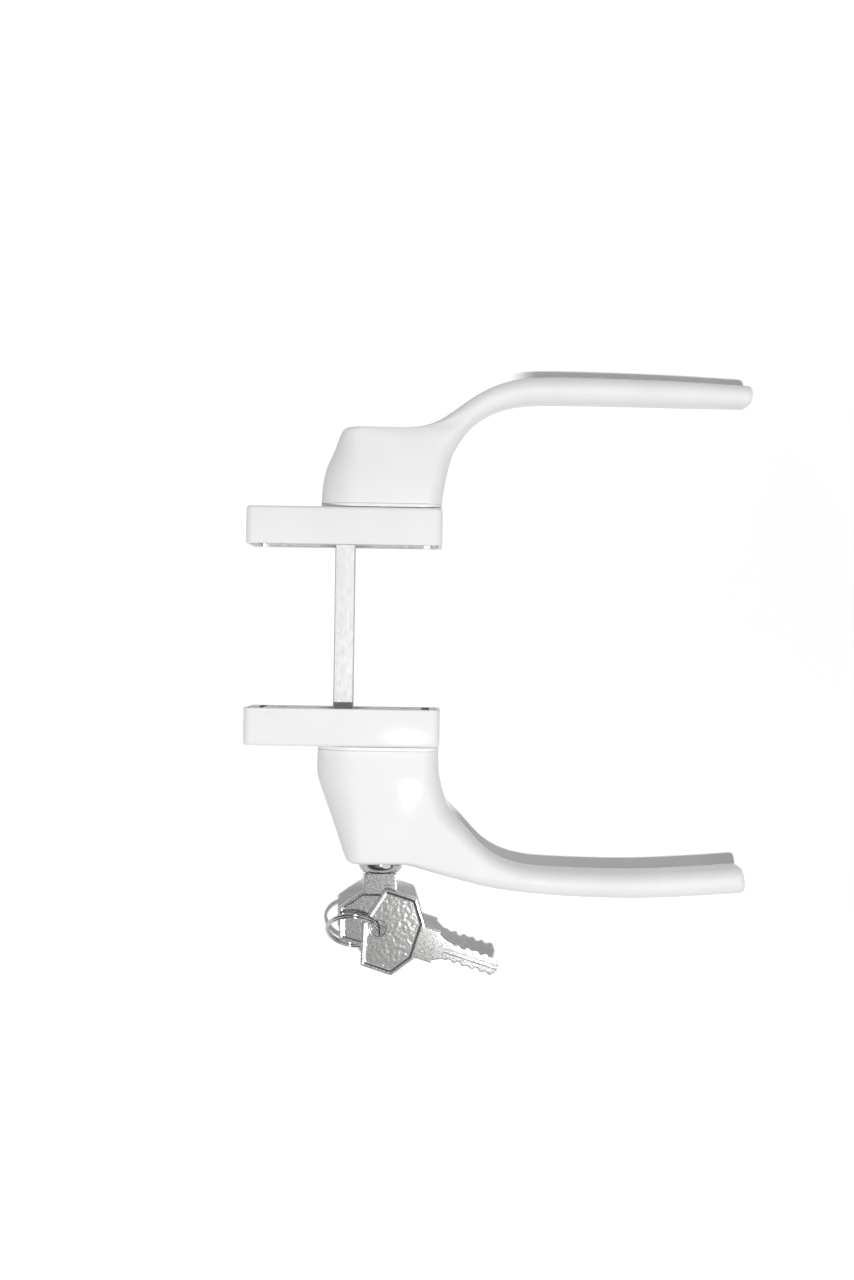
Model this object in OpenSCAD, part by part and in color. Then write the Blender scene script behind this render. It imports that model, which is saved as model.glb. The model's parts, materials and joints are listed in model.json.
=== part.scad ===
// Keyed double-sided door handle: an inside lever and a key-lockable outside lever on narrow
// rosettes, joined through the door by a square spindle.
// X runs along the levers, Y along the spindle towards the inside handle, and Z is up.
// The origin is on the spindle's axis, in the outside face of the door.
// Each handle is drawn with z as the distance out from its own door face, then laid in place.

/* [Door and spindle] */
// Thickness of the door between the two rosettes
door_t = 57; // [40:1:80]
// Distance between the two fixing screws
fix_pitch = 43; // [40:1:46]
// Nominal diameter of the fixing screws
fix_d = 5; // [4:0.5:6]
// Side of the square spindle
spindle_sq = 7; // [6:0.5:8]
// Reach of the spindle into the outside handle, from the door's face
spindle_outside = 32; // [29:1:33]
// Reach of the spindle into the inside handle, from the door's face
spindle_inside = 29; // [27:1:30]

/* [Rosettes] */
// Length of a rosette
rosette_l = 68; // [66:1:80]
// Width of a rosette
rosette_w = 33; // [33:0.5:40]
// Height of a rosette off the door
rosette_h = 13; // [12.5:0.5:16]
// Wall of a rosette's cover
rosette_wall = 1.5; // [1:0.1:1.8]
// Radius of a rosette's upright corners
rosette_r = 2.5; // [1:0.5:4]
// Radius of a rosette's front edges
rosette_edge = 1.2; // [0.4:0.1:2]

/* [Hubs and detents] */
// Diameter of a hub's round neck
neck_d = 14; // [13:0.5:15]
// Thickness of the bush round the neck
bush_t = 1.4; // [1:0.1:1.6]
// Thickness of the hub's plate under the lever
hub_t = 1.2; // [1:0.1:2]
// Diameter of a detent ball
ball_d = 4; // [3:0.25:4.5]
// Depth of the dimples that the balls drop into
dimple_depth = 0.6; // [0.3:0.1:0.9]

/* [Levers] */
// Length of a lever's boss along the lever
boss_l = 42.5; // [40:0.5:48]
// Distance of the boss's back end from the spindle's axis
boss_back = 8.8; // [8.6:0.1:10]
// Width of the boss
boss_w = 27; // [26:0.5:30]
// Height of the outside lever's boss
outside_boss_h = 39.9; // [38:0.5:44]
// Height of the inside lever's boss
inside_boss_h = 26.8; // [25:0.5:32]
// Height of the outside grip's outer face above its boss
outside_rise = 8.4; // [6:0.2:11]
// Height of the inside grip's outer face above its boss
inside_rise = 17.9; // [15:0.1:20]
// Distance of the levers' ends from the spindle's axis
lever_reach = 142; // [120:1:160]
// Width of the grips
grip_w = 20; // [16:0.5:24]
// Thickness of the grips
grip_t = 9; // [7.5:0.5:10]
// Radius round the end of the grips
tip_r = 1.8; // [1:0.1:2.5]

/* [Lock] */
// Distance of the lock's axis from the spindle's axis
lock_x = 14; // [13.5:0.1:15]
// Diameter of the lock's body
lock_d = 13; // [12.5:0.25:14]
// Diameter of the collar where it meets the lever
collar_d = 15.4; // [14.5:0.2:17]
// Width of the collar's rounded side, seen from the front
collar_dome = 3.4; // [2.6:0.2:3.6]
// Height of the collar
collar_h = 3.7; // [3:0.1:5]
// Diameter of the turning plug
plug_d = 10; // [9.5:0.25:10.5]
// Depth of the plug's face behind the collar's front
plug_recess = 3.4; // [3.3:0.1:4]
// Diameter of the locking bolt
bolt_d = 3; // [2.4:0.2:3.2]
// Distance of the locking bolt's axis from the spindle's axis
bolt_x = 12.3; // [11.9:0.1:12.5]
// Travel of the locking bolt for a quarter turn of the key
bolt_travel = 4; // [3.5:0.1:4.2]
// Number of wafers in the plug
wafer_count = 5; // [3:1:5]
// Thickness of a wafer
wafer_t = 1; // [0.7:0.1:1.2]

/* [Keys] */
// Thickness of a key
key_t = 2.2; // [1.8:0.1:2.4]
// Width of a key's blade
blade_w = 6.4; // [6:0.1:6.8]
// Length of a key from its shoulder to its tip
blade_l = 22.8; // [21:0.2:24]
// Distance of the hole in the bow from the shoulder
key_hole_u = 21.4; // [20:0.2:24]
// Diameter of the hole in the bow
key_hole_d = 5.4; // [5.2:0.1:6]
// Width of a key's bow
bow_w = 28.6; // [26:0.2:32]
// Width of the raised rim round a bow
bow_rim = 1.3; // [0.8:0.1:2]
// Depth of the recess inside the rim
bow_sink = 0.3; // [0.1:0.05:0.5]
// Direction of the loose key, down from the levers' direction
spare_angle = 17.5; // [0:0.5:40]

/* [Key ring] */
// Outer diameter of the key ring
ring_d = 19.8; // [19:0.2:24]
// Diameter of the ring's wire
ring_wire_d = 1; // [0.8:0.05:1.1]
// Tilt of the ring out of the keys' plane
ring_tilt = 48; // [45:1:60]
// Turn of the ring to the side
ring_yaw = 5.5; // [0:0.5:10]

/* [Hidden] */
$fn = 64;

// Clearance between pieces that fit but don't turn
fit_gap = 0.1;
// Radial clearance of pieces that turn or slide in each other
run_gap = 0.05;
// Gap between a rosette's front and the turning hub
hub_gap = 0.3;
// Overshoot of a cut past the face that it opens
cut = 1;

// Rosette and base plate
cover_gap = 0.2;
inner_l = rosette_l - 2 * rosette_wall;
inner_w = rosette_w - 2 * rosette_wall;
inner_h = rosette_h - rosette_wall;
plate_l = inner_l - 2 * cover_gap;
plate_w = inner_w - 2 * cover_gap;
plate_h = inner_h - cover_gap;
plate_r = 1;
plate_recess_d = neck_d + 5;
plate_recess_h = 3;
pocket_wall = 2;
pocket_h = plate_h - 2.3;
fix_head_d = 2 * fix_d;
fix_head_h = fix_d;
fix_thread_r = 0.42 * fix_d;
fix_clear_r = fix_d / 2 + 0.25;
pocket_x = fix_pitch / 2 + fix_head_d / 2 + 1;
pocket_l = plate_l / 2 - pocket_wall - pocket_x;

// Bush and neck
neck_r = neck_d / 2;
bush_r = neck_r + run_gap + bush_t;
flange_r = bush_r + 1.4;
flange_h = 0.9;
neck_back = 0.6;
clip_t = 1;
clip_gap = 0.15;
clip_z = plate_recess_h - clip_gap - clip_t;
clip_depth = 0.5;
clip_w = 1.9;
hub_top = rosette_h + hub_gap + hub_t;
boss_z = hub_top + fit_gap;

// Detents
ball_r = ball_d / 2;
ball_x = neck_r + ball_r + run_gap;
ball_z = 6.6;
detent_angles = [135, 315];
detent_hole_r = ball_r + fit_gap;
detent_screw_l = 2.6;
detent_screw_x = plate_w / sqrt(2) - ball_r - 3 * fit_gap - detent_screw_l;
detent_spring_x = ball_x + ball_r + fit_gap;
detent_wire_d = 0.6;
detent_spring_pitch = 0.75;

// Lever outline
boss_end = boss_l - boss_back;
boss_corner = 6;
boss_round = boss_w / 2 - 0.2;

// Spindle fastening
pin_d = 3;
pin_z = 26;
pin_l = 21;
grub_d = 5;
grub_l = 7.5;
grub_z = 24;
hex_depth = 2;
hub_screw_d = 3;
hub_screw_head_d = 5.6;
hub_screw_l = 9;
hub_screw_x = boss_end - 7.7;
hub_screw_y = boss_w / 2 - 6.5;
socket_w = spindle_sq + 2 * run_gap;
socket_room = 1;

// Lock
front_z = boss_z + outside_boss_h;
collar_z = front_z + collar_h;
plug_r = plug_d / 2;
plug_front = collar_z - plug_recess;
shoulder_z = collar_z + fit_gap;
key_tip_z = shoulder_z - blade_l;
plug_back = key_tip_z - 3.5;
keyway_back = key_tip_z - 0.5;
plug_ring_z = plug_back + 1.2;
plug_ring_t = 0.8;
plug_ring_r = plug_r + 0.7;
plug_groove_r = plug_r - 0.8;
cam_l = 9.4;
cam_back = plug_back - cam_l;
cam_bore_r = 2.6;
bolt_pin_d = 1.6;
bolt_pin_z = plug_back - 2.6;
bolt_head_r = cam_bore_r - fit_gap;
bolt_head_up = 1.3;
bolt_head_down = bolt_pin_z - cam_back + 2 * fit_gap;
bolt_head_back = bolt_pin_z - bolt_head_down;
bolt_tip_z = rosette_h + hub_gap;
bolt_hole_r = bolt_d / 2 + fit_gap;
bolt_slot_r = bolt_pin_d / 2 + 0.15;
housing_back = boss_z + fit_gap;
lock_screw_d = 4;
lock_screw_z = 40;
lock_screw_l = 4.5;
lock_dimple = 0.4;

// Wafers
wafer_first = 2.8;
wafer_w = 5.8;
wafer_r = plug_r - fit_gap;
wafer_window_w = blade_w + 0.6;
wafer_window_t = key_t + 0.4;
wafer_spring_r = 0.42;
wafer_notch_w = 1.2;
wafer_notch_l = 4.6;

// Key
key_hole_z = shoulder_z + key_hole_u;
shank_w = 11.6;
neck_u = 15;
neck_w = 13;
bow_side_u = [-2, 9.5];
bow_apex_u = -5.9;
bow_corner = 1.2;
shoulder_w = 9.4;
slope_l = 3.1;
groove_w = 1.5;
groove_depth = 0.45;
mill_u = [17.2, 21];
mill_v = [-4.3, -1.2];
mill_depth = 0.5;
cut_depths = [0.5, 0.9, 0.4, 0.8, 0.6];
cut_flat = 1;
cut_slope = 0.7;
key_tip_l = 1.6;
first_cut_u = fit_gap + plug_recess + wafer_first - wafer_t / 2;
last_cut_u = blade_l - 1 - key_tip_l - cut_flat / 2 - cut_slope;
wafer_pitch = (last_cut_u - first_cut_u) / (wafer_count - 1);

// Key ring and the loose key on it
key_gap = 0.3;
ring_r = ring_d / 2 - ring_wire_d / 2;
coil_gap = 0.1;
coil_pitch = ring_wire_d + coil_gap;
spare_z = key_t + key_gap;
spare_phase = asin(spare_z / (ring_r * sin(ring_tilt)));

// Outline points of the outside lever: outer point, inner point, half width, outer and inner
// corner radius, from the boss's foot to the end of the grip. Heights start at the boss's foot.
grip_r = 0.467 * grip_t;
curve_r = 0.51 * grip_t;
function grip_x(f) = boss_end + f * (lever_reach - tip_r - boss_end);
function outside_rows() =
    let (b = -boss_back, e = boss_end, l = boss_l, h = outside_boss_h, t = grip_t)
    let (u = outside_rise, g = h + u, w = boss_w / 2, v = grip_w / 2) [
    [b, 0, e, 0, w, boss_round, boss_corner],
    [b + 0.007 * l, 0.19 * h, e + 0.007 * l, 0.18 * h, w, boss_round, boss_corner],
    [b + 0.073 * l, 0.42 * h, e + 0.035 * l, 0.33 * h, 0.985 * w, 0.89 * w, boss_corner],
    [b + 0.202 * l, 0.745 * h, e + 0.066 * l, 0.435 * h, 0.956 * w, 0.63 * w, boss_corner],
    [b + 0.268 * l, 0.915 * h, e + 0.087 * l, 0.49 * h, 0.933 * w, 0.481 * w, boss_corner],
    [b + 0.327 * l, 0.982 * h, e + 0.111 * l, 0.535 * h, 0.919 * w, 0.37 * w, boss_corner],
    [b + 0.424 * l, h, e + 0.144 * l, 0.575 * h, 0.904 * w, 0.296 * w, boss_corner],
    [b + 0.588 * l, h, e + 0.198 * l, 0.635 * h, 0.881 * w, 0.267 * w, 0.611 * t],
    [b + 0.76 * l, h, e + 0.259 * l, 0.705 * h, 0.852 * w, 0.267 * w, 0.556 * t],
    [b + 0.953 * l, h + 0.155 * u, e + 0.339 * l, 0.775 * h, 1.1 * v, 0.422 * t, curve_r],
    [e + 0.219 * l, h + 0.5 * u, e + 0.447 * l, 0.86 * h, 1.05 * v, 0.444 * t, grip_r],
    [e + 0.454 * l, g - 0.25 * u, e + 0.576 * l, g - 0.393 * u - t, 1.02 * v, grip_r, grip_r],
    [e + 0.694 * l, g - 0.107 * u, e + 0.741 * l, g - 0.095 * u - t, v, grip_r, grip_r],
    [grip_x(0.39), g - 0.024 * u, grip_x(0.39), g - 0.012 * u - t, v, grip_r, grip_r],
    [grip_x(0.54), g, grip_x(0.54), g - t, v, grip_r, grip_r],
    [grip_x(0.68), g - 0.048 * u, grip_x(0.675), g - 0.048 * u - t, v, grip_r, grip_r],
    [grip_x(0.84), g - 0.19 * u, grip_x(0.83), g - 0.19 * u - t, 0.99 * v, grip_r, grip_r],
    [grip_x(1), g - 0.393 * u, grip_x(0.988), g - 0.393 * u - t, 0.97 * v, grip_r, grip_r]];

// The same for the inside lever
function inside_rows() =
    let (b = -boss_back, e = boss_end, l = boss_l, h = inside_boss_h, t = grip_t)
    let (u = inside_rise, g = h + u, w = boss_w / 2, v = grip_w / 2) [
    [b, 0, e, 0, w, boss_round, boss_corner],
    [b + 0.014 * l, 0.25 * h, e + 0.014 * l, 0.21 * h, w, boss_round, boss_corner],
    [b + 0.049 * l, 0.46 * h, e + 0.035 * l, 0.38 * h, 0.985 * w, 0.89 * w, boss_corner],
    [b + 0.127 * l, 0.75 * h, e + 0.056 * l, 0.5 * h, 0.963 * w, 0.667 * w, boss_corner],
    [b + 0.174 * l, 0.905 * h, e + 0.075 * l, 0.575 * h, 0.941 * w, 0.481 * w, boss_corner],
    [b + 0.221 * l, 0.972 * h, e + 0.094 * l, 0.635 * h, 0.926 * w, 0.37 * w, boss_corner],
    [b + 0.313 * l, h, e + 0.118 * l, 0.7 * h, 0.911 * w, 0.296 * w, boss_corner],
    [b + 0.489 * l, h, e + 0.153 * l, 0.785 * h, 0.889 * w, 0.267 * w, 0.611 * t],
    [b + 0.678 * l, h, e + 0.195 * l, 0.875 * h, 0.859 * w, 0.267 * w, 0.556 * t],
    [b + 0.838 * l, h + 0.039 * u, e + 0.235 * l, 0.94 * h, 1.11 * v, 0.422 * t, curve_r],
    [e, h + 0.168 * u, e + 0.287 * l, 1.01 * h, 1.08 * v, 0.444 * t, grip_r],
    [e + 0.224 * l, h + 0.536 * u, e + 0.379 * l, 1.12 * h, 1.04 * v, grip_r, grip_r],
    [e + 0.435 * l, g - 0.179 * u, e + 0.508 * l, g - 0.117 * u - t, 1.02 * v, grip_r, grip_r],
    [e + 0.647 * l, g - 0.034 * u, e + 0.666 * l, g - 0.022 * u - t, v, grip_r, grip_r],
    [grip_x(0.34), g, grip_x(0.34), g - t, v, grip_r, grip_r],
    [grip_x(0.53), g - 0.006 * u, grip_x(0.53), g + 0.006 * u - t, v, grip_r, grip_r],
    [grip_x(0.77), g - 0.045 * u, grip_x(0.77), g - 0.006 * u - t, 0.99 * v, 0.411 * t, 0.411 * t],
    [grip_x(1), g - 0.112 * u, grip_x(0.994), g - 0.112 * u - 0.79 * t, 0.97 * v, 0.367 * t, 0.367 * t]];

// Vectors and plane outlines
function unit(v) = v / norm(v);
function left(v) = [-v[1], v[0]];
function wrap(a) = a > 180 ? a - 360 : a < -180 ? a + 360 : a;
function at(pts, i) = pts[(i + len(pts)) % len(pts)];
function inset_corner(a, b, c, d) =
    let (n1 = left(unit(b - a)), n2 = left(unit(c - b)))
    b + (n1 + n2) * d / (1 + n1 * n2);
function inset(pts, d) =
    [for (i = [0:len(pts) - 1]) inset_corner(at(pts, i - 1), pts[i], at(pts, i + 1), d)];
function round_corner(a, b, c, r, n) =
    let (u = unit(a - b), w = unit(c - b), half = acos(u * w) / 2)
    let (centre = b + unit(u + w) * r / sin(half), p = b + u * r / tan(half) - centre)
    let (q = b + w * r / tan(half) - centre, a0 = atan2(p[1], p[0]))
    let (sweep = wrap(atan2(q[1], q[0]) - a0))
    [for (k = [0:n]) centre + r * [cos(a0 + sweep * k / n), sin(a0 + sweep * k / n)]];
function rounded(pts, r, n) =
    [for (i = [0:len(pts) - 1]) each round_corner(at(pts, i - 1), pts[i], at(pts, i + 1), r, n)];

// A smooth value at t along a list of rows, through every row
function blend(a, b, c, d, t) =
    0.5 * (2 * b + (c - a) * t + (2 * a - 5 * b + 4 * c - d) * t * t
        + (3 * b - 3 * c + d - a) * t * t * t);
function spline(rows, i, t) =
    let (last = len(rows) - 1)
    blend(rows[max(i - 1, 0)], rows[i], rows[min(i + 1, last)], rows[min(i + 2, last)], t);

// One cross-section of a lever: a rounded rectangle between its outer and its inner point
corner_steps = 5;
span_steps = 3;
corner_stretch = 1.25;
function corner(cx, cy, rx, ry, a0) =
    [for (k = [0:corner_steps])
        let (a = a0 + 90 * k / corner_steps) [cx + rx * cos(a), cy + ry * sin(a)]];
function section(row, shrink, push) =
    let (o = [row[0], row[1]], i = [row[2], row[3]], along = unit(i - o), out = left(along))
    let (mid = (o + i) / 2 + out * push, a = norm(i - o) / 2 - shrink, w = row[4] - shrink)
    let (ri = min(row[6] - shrink, 0.96 * a), ro = min(row[5] - shrink, 0.96 * a))
    let (wi = min(corner_stretch * (row[6] - shrink), 0.98 * w))
    let (wo = min(corner_stretch * (row[5] - shrink), 0.98 * w))
    let (flat = concat(corner(a - ri, w - wi, ri, wi, 0), corner(-a + ro, w - wo, ro, wo, 90),
        corner(-a + ro, -w + wo, ro, wo, 180), corner(a - ri, -w + wi, ri, wi, 270)))
    [for (p = flat) let (q = mid + along * p[0]) [q[0], p[1], q[1]]];
function lever_sections(rows) =
    let (last = len(rows) - 1)
    concat(
        [for (i = [0:last - 1], k = [0:span_steps - 1])
            section(spline(rows, i, k / span_steps), 0, 0)],
        [section(rows[last], 0, 0)],
        [for (a = [30, 60, 88]) section(rows[last], tip_r * (1 - cos(a)), tip_r * sin(a))]);

// A solid through a list of rings with the same number of points, closed at both ends
module loft(rings) {
    n = len(rings[0]);
    m = len(rings);
    function id(i, j) = i * n + j % n;
    sides = [for (i = [0:m - 2], j = [0:n - 1])
        each [[id(i, j), id(i, j + 1), id(i + 1, j)], [id(i, j + 1), id(i + 1, j + 1), id(i + 1, j)]]];
    start = [for (j = [1:n - 2]) [id(0, 0), id(0, j + 1), id(0, j)]];
    end = [for (j = [1:n - 2]) [id(m - 1, 0), id(m - 1, j), id(m - 1, j + 1)]];
    polyhedron(points = [for (ring = rings) each ring], faces = concat(sides, start, end));
}

// A round wire wound on a helix round the z axis, from z = 0 upwards
function coil_ring(r, wire, pitch, sides, a) =
    let (out = [cos(a), sin(a), 0], run = unit([-sin(a), cos(a), pitch / (2 * PI * r)]))
    let (side = cross(run, out), centre = r * out + [0, 0, pitch * a / 360])
    [for (k = [0:sides - 1]) let (b = -360 * k / sides) centre + wire / 2 * (cos(b) * out + sin(b) * side)];
module coil(r, wire, pitch, turns, steps, sides) {
    total = round(turns * steps);
    loft([for (i = [0:total]) coil_ring(r, wire, pitch, sides, i * 360 / steps)]);
}

// Where the two handles lie
module outside_side() { rotate([90, 0, 0]) children(); }
module inside_side() { translate([0, door_t, 0]) rotate([-90, 0, 0]) children(); }
module lock_axis(z) { translate([lock_x, 0, z]) children(); }
module both_screws() {
    for (side = [-1, 1])
        translate([side * fix_pitch / 2, 0, 0]) children();
}

module rounded_block(l, w, h, r) {
    linear_extrude(h) {
        square([l - 2 * r, w], center = true);
        square([l, w - 2 * r], center = true);
        for (sx = [-1, 1], sy = [-1, 1])
            translate([sx * (l / 2 - r), sy * (w / 2 - r)]) circle(r);
    }
}

// A block's side view with its two upper corners rounded, as a long bar across the block
module round_topped_bar(l, h, r, depth) {
    rotate([90, 0, 0]) linear_extrude(depth, center = true) {
        translate([-l / 2, 0]) square([l, h - r]);
        translate([-l / 2 + r, 0]) square([l - 2 * r, h]);
        for (side = [-1, 1])
            translate([side * (l / 2 - r), h - r]) circle(r);
    }
}

module locking_holes(r, z, h) {
    for (a = [0, 90])
        rotate([0, 0, a]) translate([bolt_x, 0, z]) cylinder(r = r, h = h);
}

module rosette(with_lock) {
    difference() {
        intersection() {
            rounded_block(rosette_l, rosette_w, rosette_h, rosette_r);
            round_topped_bar(rosette_l, rosette_h, rosette_edge, 2 * rosette_w);
            rotate([0, 0, 90]) round_topped_bar(rosette_w, rosette_h, rosette_edge, 2 * rosette_l);
        }
        translate([0, 0, -cut]) rounded_block(inner_l, inner_w, inner_h + cut, plate_r);
        cylinder(r = neck_r + 3 * run_gap, h = rosette_h + cut);
        if (with_lock)
            locking_holes(bolt_hole_r + fit_gap, inner_h - cut, rosette_wall + 2 * cut);
    }
}

module detent_channel(r, x0, x1) {
    for (a = detent_angles)
        rotate([0, 0, a]) translate([x0, 0, ball_z]) rotate([0, 90, 0]) cylinder(r = r, h = x1 - x0);
}

module plate_body(with_lock) {
    difference() {
        rounded_block(plate_l, plate_w, plate_h, plate_r);
        translate([0, 0, -cut]) cylinder(r = bush_r + run_gap, h = plate_h + 2 * cut);
        translate([0, 0, -cut]) cylinder(d = plate_recess_d, h = plate_recess_h + cut);
        translate([0, 0, plate_h - flange_h]) cylinder(r = flange_r + run_gap, h = flange_h + cut);
        detent_channel(detent_hole_r, neck_r, rosette_l / 2);
        if (with_lock)
            locking_holes(bolt_hole_r, plate_h - bolt_travel, bolt_travel + cut);
        for (side = [-1, 1])
            translate([side * (pocket_x + pocket_l / 2), 0, (pocket_h - cut) / 2])
                cube([pocket_l, plate_w - 2 * pocket_wall, pocket_h + cut], center = true);
    }
}

module bush() {
    difference() {
        union() {
            translate([0, 0, plate_recess_h]) cylinder(r = bush_r, h = plate_h - plate_recess_h);
            translate([0, 0, plate_h - flange_h]) cylinder(r = flange_r, h = flange_h);
        }
        cylinder(r = neck_r + run_gap, h = rosette_h);
        detent_channel(detent_hole_r, neck_r - cut, bush_r + cut);
    }
}

module detent_balls() {
    for (a = detent_angles)
        rotate([0, 0, a]) translate([ball_x, 0, ball_z]) sphere(ball_r);
}

module detent_springs() {
    spring_l = detent_screw_x - detent_spring_x - detent_wire_d - fit_gap;
    turns = spring_l / detent_spring_pitch;
    for (a = detent_angles)
        rotate([0, 0, a]) translate([detent_spring_x + detent_wire_d / 2, 0, ball_z]) rotate([0, 90, 0])
            coil(ball_r - 0.5, detent_wire_d, detent_spring_pitch, turns, 10, 5);
}

module detent_screws() {
    difference() {
        detent_channel(ball_r, detent_screw_x, detent_screw_x + detent_screw_l);
        detent_channel(ball_r / 2, detent_screw_x + detent_screw_l / 2, rosette_l / 2);
    }
}

module boss_outline(r) {
    translate([-boss_back + boss_w / 2, 0]) circle(boss_w / 2);
    translate([-boss_back + boss_w / 2, -boss_w / 2]) square([boss_l - boss_w / 2 - r, boss_w]);
    translate([-boss_back + boss_w / 2, -boss_w / 2 + r]) square([boss_l - boss_w / 2, boss_w - 2 * r]);
    for (side = [-1, 1])
        translate([boss_end - r, side * (boss_w / 2 - r)]) circle(r);
}

module at_hub_screws() {
    for (side = [-1, 1])
        translate([hub_screw_x, side * hub_screw_y, rosette_h + hub_gap]) children();
}

module hub_screw(extra) {
    cylinder(d1 = hub_screw_head_d + 2 * extra, d2 = hub_screw_d + 2 * extra, h = hub_t);
    cylinder(d = hub_screw_d + 2 * extra, h = hub_screw_l + extra);
}

module hub(with_lock) {
    difference() {
        union() {
            translate([0, 0, rosette_h + hub_gap]) linear_extrude(hub_t) boss_outline(boss_corner);
            translate([0, 0, neck_back]) cylinder(r = neck_r, h = hub_top - neck_back);
        }
        translate([-socket_w / 2, -socket_w / 2, 0]) cube([socket_w, socket_w, boss_z + cut]);
        difference() {
            translate([0, 0, clip_z - run_gap]) cylinder(r = neck_r + cut, h = clip_t + 2 * run_gap);
            cylinder(r = neck_r - clip_depth, h = rosette_h);
        }
        for (a = [0, 90, 180, 270])
            rotate([0, 0, a + detent_angles[0]])
                translate([neck_r - dimple_depth + ball_r + fit_gap, 0, ball_z]) sphere(ball_r + fit_gap);
        at_hub_screws() hub_screw(fit_gap);
        at_hub_screws() translate([0, 0, -cut]) cylinder(d = hub_screw_head_d + 2 * fit_gap, h = cut);
        if (with_lock)
            translate([bolt_x, 0, 0]) cylinder(r = bolt_hole_r, h = boss_z + cut);
    }
}

module hub_screws() {
    at_hub_screws() difference() {
        hub_screw(0);
        translate([0, 0, -fit_gap]) cylinder(d = 2, h = 0.8, $fn = 6);
    }
}

module circlip() {
    difference() {
        translate([0, 0, clip_z]) cylinder(r = neck_r - clip_depth + run_gap + clip_w, h = clip_t);
        cylinder(r = neck_r - clip_depth + run_gap, h = rosette_h);
        translate([0, 0, clip_z - cut]) linear_extrude(clip_t + 2 * cut)
            polygon([[0, 0], [3 * neck_r, -1.4 * neck_r], [3 * neck_r, 1.4 * neck_r]]);
    }
}

module lever_common(rows, depth) {
    difference() {
        translate([0, 0, boss_z]) loft(lever_sections(rows));
        translate([-socket_w / 2, -socket_w / 2, boss_z - cut])
            cube([socket_w, socket_w, depth + socket_room - boss_z + cut]);
        at_hub_screws() cylinder(d = hub_screw_d + 2 * fit_gap, h = hub_screw_l + cut);
        children();
    }
}

module outside_lever() {
    color("whitesmoke") outside_side() lever_common(outside_rows(), spindle_outside) {
        lock_axis(boss_z - cut) cylinder(d = lock_d + 2 * run_gap, h = outside_boss_h + 2 * cut);
        translate([0, pin_l / 2 + fit_gap, pin_z]) rotate([90, 0, 0])
            cylinder(d = pin_d + 2 * run_gap, h = boss_w);
        translate([lock_x, 0, lock_screw_z]) rotate([90, 0, 0])
            cylinder(d = lock_screw_d + 2 * run_gap, h = boss_w);
    }
}

module inside_lever() {
    color("whitesmoke") inside_side() lever_common(inside_rows(), spindle_inside)
        translate([0, 0, grub_z]) rotate([-90, 0, 0]) cylinder(d = grub_d + 2 * run_gap, h = boss_w);
}

module outside_rosette() { color("whitesmoke") outside_side() rosette(true); }
module inside_rosette() { color("whitesmoke") inside_side() rosette(false); }

module outside_base_plate() {
    color("silver") outside_side() difference() {
        plate_body(true);
        both_screws() translate([0, 0, -cut]) cylinder(r = fix_thread_r, h = plate_h + 2 * cut);
    }
}

module inside_base_plate() {
    color("silver") inside_side() difference() {
        plate_body(false);
        both_screws() translate([0, 0, -cut]) cylinder(r = fix_clear_r, h = plate_h + 2 * cut);
        both_screws() translate([0, 0, plate_h - fix_head_h]) cylinder(d = fix_head_d, h = fix_head_h + cut);
    }
}

module outside_bush() { color("dimgray") outside_side() bush(); }
module inside_bush() { color("dimgray") inside_side() bush(); }
module outside_detent_balls() { color("silver") outside_side() detent_balls(); }
module inside_detent_balls() { color("silver") inside_side() detent_balls(); }
module outside_detent_springs() { color("gray") outside_side() detent_springs(); }
module inside_detent_springs() { color("gray") inside_side() detent_springs(); }
module outside_detent_screws() { color("gray") outside_side() detent_screws(); }
module inside_detent_screws() { color("gray") inside_side() detent_screws(); }
module outside_hub() { color("whitesmoke") outside_side() hub(true); }
module inside_hub() { color("whitesmoke") inside_side() hub(false); }
module outside_hub_screws() { color("silver") outside_side() hub_screws(); }
module inside_hub_screws() { color("silver") inside_side() hub_screws(); }
module outside_circlip() { color("gray") outside_side() circlip(); }
module inside_circlip() { color("gray") inside_side() circlip(); }

module spindle() {
    l = spindle_outside + door_t + spindle_inside;
    end_chamfer = 0.8;
    color("silver") translate([0, -spindle_outside, 0]) difference() {
        translate([-spindle_sq / 2, 0, -spindle_sq / 2]) cube([spindle_sq, l, spindle_sq]);
        for (y = [0, l], a = [0:90:270])
            translate([0, y, 0]) rotate([0, a, 0]) translate([spindle_sq / 2, 0, 0])
                rotate([0, 0, 45]) cube([end_chamfer, end_chamfer, 2 * spindle_sq], center = true);
        translate([0, spindle_outside - pin_z, 0])
            cylinder(d = pin_d + 2 * run_gap, h = 2 * spindle_sq, center = true);
    }
}

module spindle_pin() {
    color("gray") outside_side() translate([0, 0, pin_z]) rotate([90, 0, 0])
        cylinder(d = pin_d, h = pin_l, center = true);
}

module inside_grub_screw() {
    color("gray") inside_side() translate([0, spindle_sq / 2 + run_gap, grub_z]) rotate([-90, 0, 0])
        difference() {
            cylinder(d = grub_d, h = grub_l);
            translate([0, 0, grub_l - hex_depth]) cylinder(d = grub_d / 2, h = hex_depth + cut, $fn = 6);
        }
}

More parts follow.
